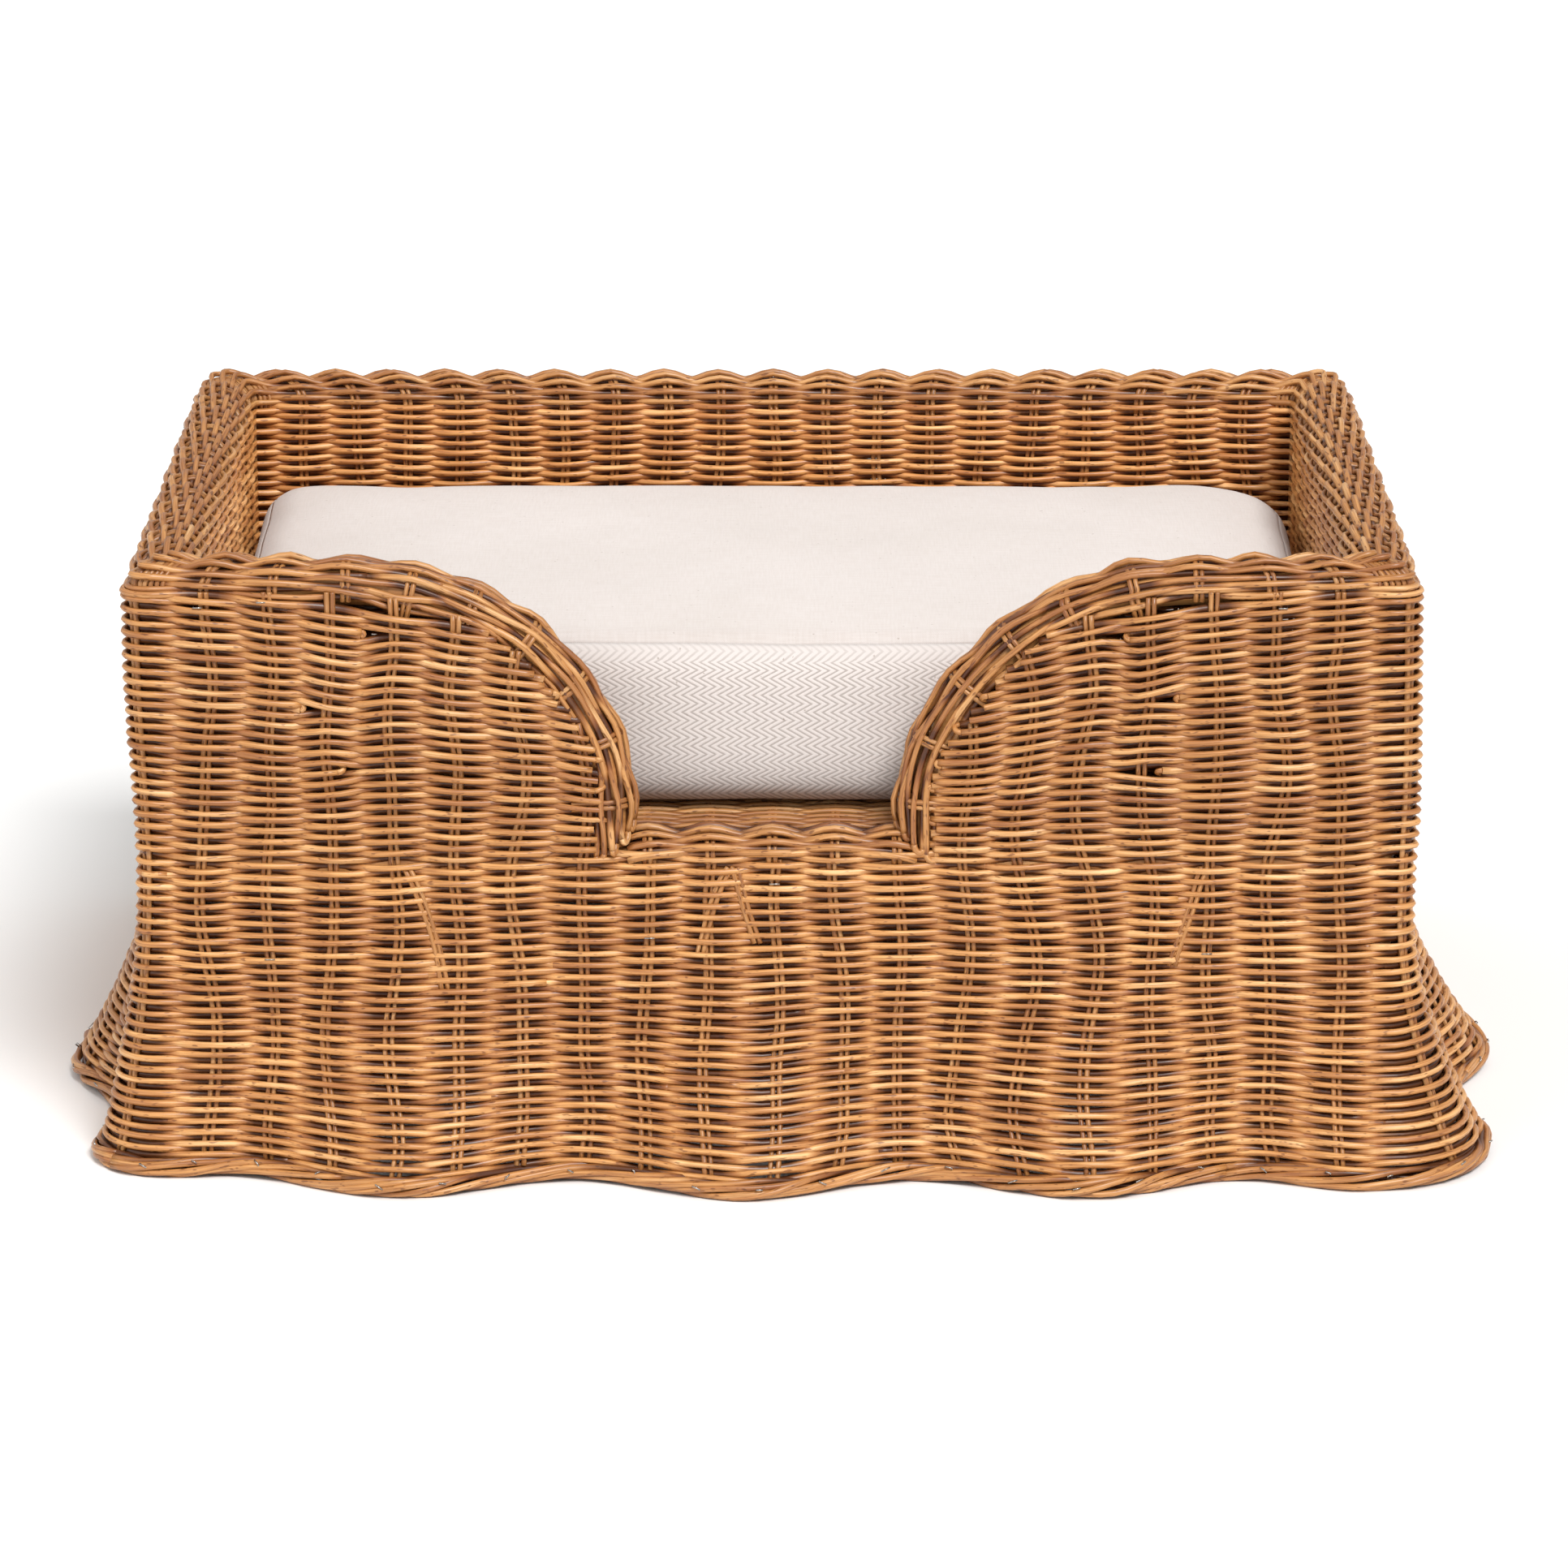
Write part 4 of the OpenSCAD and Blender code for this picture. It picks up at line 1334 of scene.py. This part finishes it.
def herringboneFinish():
    # broken twill: level bands whose fine ribs lean one way, then the other
    material, tree, shader = newFinish("herringboneTwill", {"Roughness": 0.88, "Specular IOR Level": 0.2,
                                                            "Sheen Weight": 0.2, "Sheen Roughness": 0.5})
    uv, weave = clothSpots(tree, 0.9 * mm)
    spots = addNode(tree, "SeparateXYZ", {"Vector": uv})
    whole = outlinePlace(0.01, 1)[1]
    across = whole / round(whole * herringbone["slope"] / herringbone["rise"])
    zigzag = sums(tree, "PINGPONG", sums(tree, "DIVIDE", spots.outputs[1], 2 * herringbone["band"]), 0.5)
    leaning = sums(tree, "MULTIPLY", zigzag, 2 * herringbone["band"] / herringbone["rise"])
    turns = sums(tree, "ADD", sums(tree, "DIVIDE", spots.outputs[0], across), leaning)
    wave = sums(tree, "SINE", sums(tree, "MULTIPLY", turns, 2 * math.pi))
    ribs = sums(tree, "MULTIPLY_ADD", wave, 0.5, 0.5)
    fuzz = sums(tree, "MULTIPLY_ADD", weave.outputs["Slub"], 0.6, sums(tree, "SUBTRACT", ribs, 0.3))
    colour = ramp(tree, fuzz, (0.08, (0.42, 0.37, 0.342)), (0.52, (0.68, 0.62, 0.59)))
    low = topSeam - herringbone["fade"]
    nearSeam = addNode(tree, "MapRange", {"Value": spots.outputs[1], "From Min": low, "From Max": topSeam,
                                          "To Min": 0.0, "To Max": 0.85})
    # near the top seam the pattern fades into a flat colour darker than the cloth: painted shade on the
    # rounded edge
    colour = mixColour(tree, "MIX", nearSeam.outputs["Result"], colour, (0.61, 0.558, 0.53))
    feed(tree, shader, speckled(tree, colour, weave, (0.26, 0.2, 0.16)))
    addBump(tree, shader, sums(tree, "ADD", ribs, weave.outputs["Slub"]), 0.4, 0.3 * mm)
    return material


def zipTapeFinish():
    material, tree, shader = newFinish("zipTapeWeave", {"Roughness": 0.85, "Specular IOR Level": 0.25})
    turned = addNode(tree, "Mapping", {"Vector": objectSpot(tree), "Rotation": (math.pi / 2, 0, 0)})
    weave = addNode(tree, "Group", {"Pitch": 0.8 * mm, "Place": turned.outputs[0]}, node_tree=clothWeave)
    threads = weave.outputs["Threads"]
    feed(tree, shader, ramp(tree, threads, (0.2, (0.56, 0.5, 0.45)), (0.8, (0.74, 0.68, 0.63))))
    addBump(tree, shader, threads, 0.4, 0.2 * mm)
    return material


def teethFinish():
    material, tree, shader = newFinish("zipNylon", {"Specular IOR Level": 0.5})
    cloudy = noiseOn(tree, objectSpot(tree), 260)
    colour = ramp(tree, cloudy, (0.3, (0.66, 0.61, 0.55)), (0.7, (0.78, 0.74, 0.68)))
    feed(tree, shader, colour, sums(tree, "MULTIPLY_ADD", cloudy, 0.2, 0.25))
    return material


def steelFinish():
    material, tree, shader = newFinish("brightWire", {"Metallic": 1.0})
    rub = noiseOn(tree, objectSpot(tree), 420, 4)
    colour = ramp(tree, rub, (0.3, (0.24, 0.23, 0.22)), (0.65, (0.5, 0.49, 0.47)))
    feed(tree, shader, colour, sums(tree, "MULTIPLY_ADD", rub, 0.3, 0.15))
    addBump(tree, shader, rub, 0.1, 0.1 * mm)
    return material


def glideFinish():
    material, tree, shader = newFinish("glidePlastic", {"Specular IOR Level": 0.45})
    spot = objectSpot(tree)
    wear = noiseOn(tree, spot, 90, 3)
    colour = ramp(tree, wear, (0.35, (0.06, 0.045, 0.035)), (0.7, (0.12, 0.09, 0.07)))
    feed(tree, shader, colour, sums(tree, "MULTIPLY_ADD", wear, 0.35, 0.3))
    addBump(tree, shader, noiseOn(tree, spot, 900, 3), 0.2, 0.15 * mm)
    return material


def fillingFinish():
    material, tree, shader = newFinish("whiteWadding", {"Roughness": 0.95, "Sheen Weight": 0.4})
    tuft = noiseOn(tree, objectSpot(tree), 140, 5, Distortion=1.5)
    feed(tree, shader, ramp(tree, tuft, (0.3, (0.74, 0.73, 0.71)), (0.7, (0.9, 0.9, 0.89))))
    addBump(tree, shader, tuft, 0.6, 2 * mm)
    return material


studio = {
    "lens": 147.8,
    "place": (0.0065, -3.617, 1.2258),  # the camera, looking along +Y
    "tilt": 73.4,  # degrees up from straight down
    "sky": 0.6,
    "suns": (("key", (0.28, -0.62, 0.74), 2.75, 22), ("fill", (-0.8, -0.4, 0.45), 0.6, 60)),
    "floor": 14,
}


def setStudio():
    scene = bpy.context.scene
    scene.view_settings.view_transform = "Standard"
    world = bpy.data.worlds.new("studio")
    scene.world = world
    world.use_nodes = True
    back = world.node_tree.nodes["Background"]
    back.inputs["Color"].default_value = (1.0, 0.995, 0.985, 1)
    back.inputs["Strength"].default_value = studio["sky"]
    for name, towards, strength, spread in studio["suns"]:
        lamp = bpy.data.lights.new(name, "SUN")
        lamp.energy = strength
        lamp.angle = math.radians(spread)
        addObject(name, lamp).rotation_euler = Vector(towards).to_track_quat("Z", "Y").to_euler()
    camera = bpy.data.cameras.new("camera")
    camera.lens = studio["lens"]
    camera.sensor_width = 36
    camera.clip_end = 60
    scene.camera = addObject("camera", camera)
    scene.camera.location = studio["place"]
    scene.camera.rotation_euler = (math.radians(studio["tilt"]), 0, 0)


def layFloor():
    bm = bmesh.new()
    bmesh.ops.create_grid(bm, x_segments=4, y_segments=4, size=studio["floor"] / 2)
    floor = objectFrom(bm, "studioFloor")
    material, tree, shader = newFinish("studioFloor", {"Roughness": 0.9, "Specular IOR Level": 0.1})
    cloud = noiseOn(tree, objectSpot(tree), 1.5)
    feed(tree, shader, ramp(tree, cloud, (0.3, (0.9, 0.9, 0.895)), (0.7, (0.92, 0.92, 0.915))))
    floor.data.materials.append(material)


def place(piece, material, body, slotName, *nodes):
    piece.data.materials.clear()
    piece.data.materials.append(material)
    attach(piece, body)
    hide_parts(*nodes)


def paintNodes(material, *names):
    for name in names:
        for slotItem in bpy.data.objects[name].material_slots:
            slotItem.material = material


def named(start, *ends):
    return [f"{start}_{end}" for end in ends]


setStudio()
layFloor()
print("studio set")

caneGrain = caneGrainGroup()
clothWeave = clothWeaveGroup()
# one cane in lit and shaded copies: the walls, the border and most of all the recessed stakes are darkened
# as painted shade, the inner walls lightened as painted light
skirtCane = caneFinish("skirtCane")
wallCane = caneFinish("wallCane", 0.89, 0.965)
innerCane = caneFinish("innerCane", 1.12, 0.95)
rimCane = caneFinish("borderCane", 0.85, 0.96)
stakeCane = caneFinish("stakeCane", 0.7, 0.92)
poleCane = poleFinish()
canvas = plainClothFinish()
twill = herringboneFinish()
steel = steelFinish()
print("finishes made")

rng = random.Random(11)
rows = skirtProfile()
half = len(rows) // 2
sides = ("front", "back", "left", "right")
strands = skirtRows(rows[:half], 0, rng)
place(strandMesh("skirtWeaveUpper", strands), skirtCane, "basket", "rattan_weave", *named("skirt", *sides))
strands = skirtRows(rows[half:], half, rng)
place(strandMesh("skirtWeaveLower", strands), skirtCane, "basket", "rattan_weave", *named("skirt", *sides))
print("skirt woven,", len(rows), "rows")

skins = ("left", "right", "back", "front_left", "front_right")
outer, inner = named("outer_weave", *skins), named("inner_weave", *skins)
lower, upper = wallRows(basket["stakePlane"], 1, basket["waist"], basket["rimLine"], 1, rng)
place(strandMesh("wallWeaveLower", lower), wallCane, "basket", "rattan_weave", *outer)
place(strandMesh("wallWeaveUpper", upper), wallCane, "basket", "rattan_weave", *outer)
depth = 2 * basket["rimRound"] - basket["stakePlane"]
lower, upper = wallRows(depth, -1, basket["seatTop"], basket["rimLine"], 0, rng)
place(strandMesh("innerWeaveLower", lower), innerCane, "basket", "rattan_weave", *inner)
place(strandMesh("innerWeaveUpper", upper), innerCane, "basket", "rattan_weave", *inner)
print("walls woven")

strands = rimRows(rng)
rims = named("rim_weave", "left", "right", "back") + named("wing_border", "left", "right")
place(strandMesh("rimWeave", strands), rimCane, "basket", "rattan_border", *rims)
place(strandMesh("sillWeave", sillRows(rng)), rimCane, "basket", "rattan_weave", "sill_weave")
place(strandMesh("seatWeave", seatRows(rng)), wallCane, "basket", "rattan_weave", "seat_weave")
strands = outerStakes(rng) + slantedStakes(rng)
place(strandMesh("outerStakes", strands), stakeCane, "basket", "rattan_weave", *outer)
place(strandMesh("rimStakes", rimStakes(rng)), stakeCane, "basket", "rattan_weave", *rims)
place(strandMesh("innerStakes", innerStakes(rng)), stakeCane, "basket", "rattan_weave", *inner)
hems = named("hem_border", *sides)
place(strandMesh("hemRope", hemStrands(rng), 8), rimCane, "basket", "rattan_border", *hems)
place(strandMesh("hemStaples", stapleWires(rng)), steel, "basket", "steel_wire", "hem_staples")
print("borders, stakes and staples laid")

pad, startLayer = swollenCushion()
shapeCushion(pad, startLayer)
filling = cushionFilling(pad)
place(filling, fillingFinish(), "cushion", "wadding", "cushion_fill")
panels = (("cushionTop", topSeam, 1, "flat", canvas, "plain_cloth", "cushion_top_panel"),
          ("cushionBoxing", bottomSeam, topSeam, "round", twill, "herringbone_cloth", "cushion_boxing"),
          ("cushionBottom", -1, bottomSeam, "flat", twill, "herringbone_cloth", "cushion_bottom_panel"))
for name, low, high, lie, material, slotName, node in panels:
    panel = clothPanel(pad, startLayer, name, low, high, lie)
    place(panel, material, "cushion", slotName, node)
pad.free()
place(strandMesh("zipTeeth", zipTeethStrands()), teethFinish(), "cushion", "zip_teeth", "zip_coil")
print("cushion filled and closed")

cornerNames = ("front_left", "front_right", "back_left", "back_right")
paintNodes(poleCane, *named("post", *cornerNames), *named("seat_rail", *sides))
paintNodes(poleCane, *named("seat_bearer", *"1234"), *named("wing_rail", "left", "right"))
paintNodes(poleCane, *named("top_rail", "left", "right", "back"))
paintNodes(glideFinish(), *named("foot_glide", *cornerNames))
paintNodes(steel, "frame_nails", "zip_slider", "zip_pull")
paintNodes(zipTapeFinish(), "zip_tape")
print("frame finished")
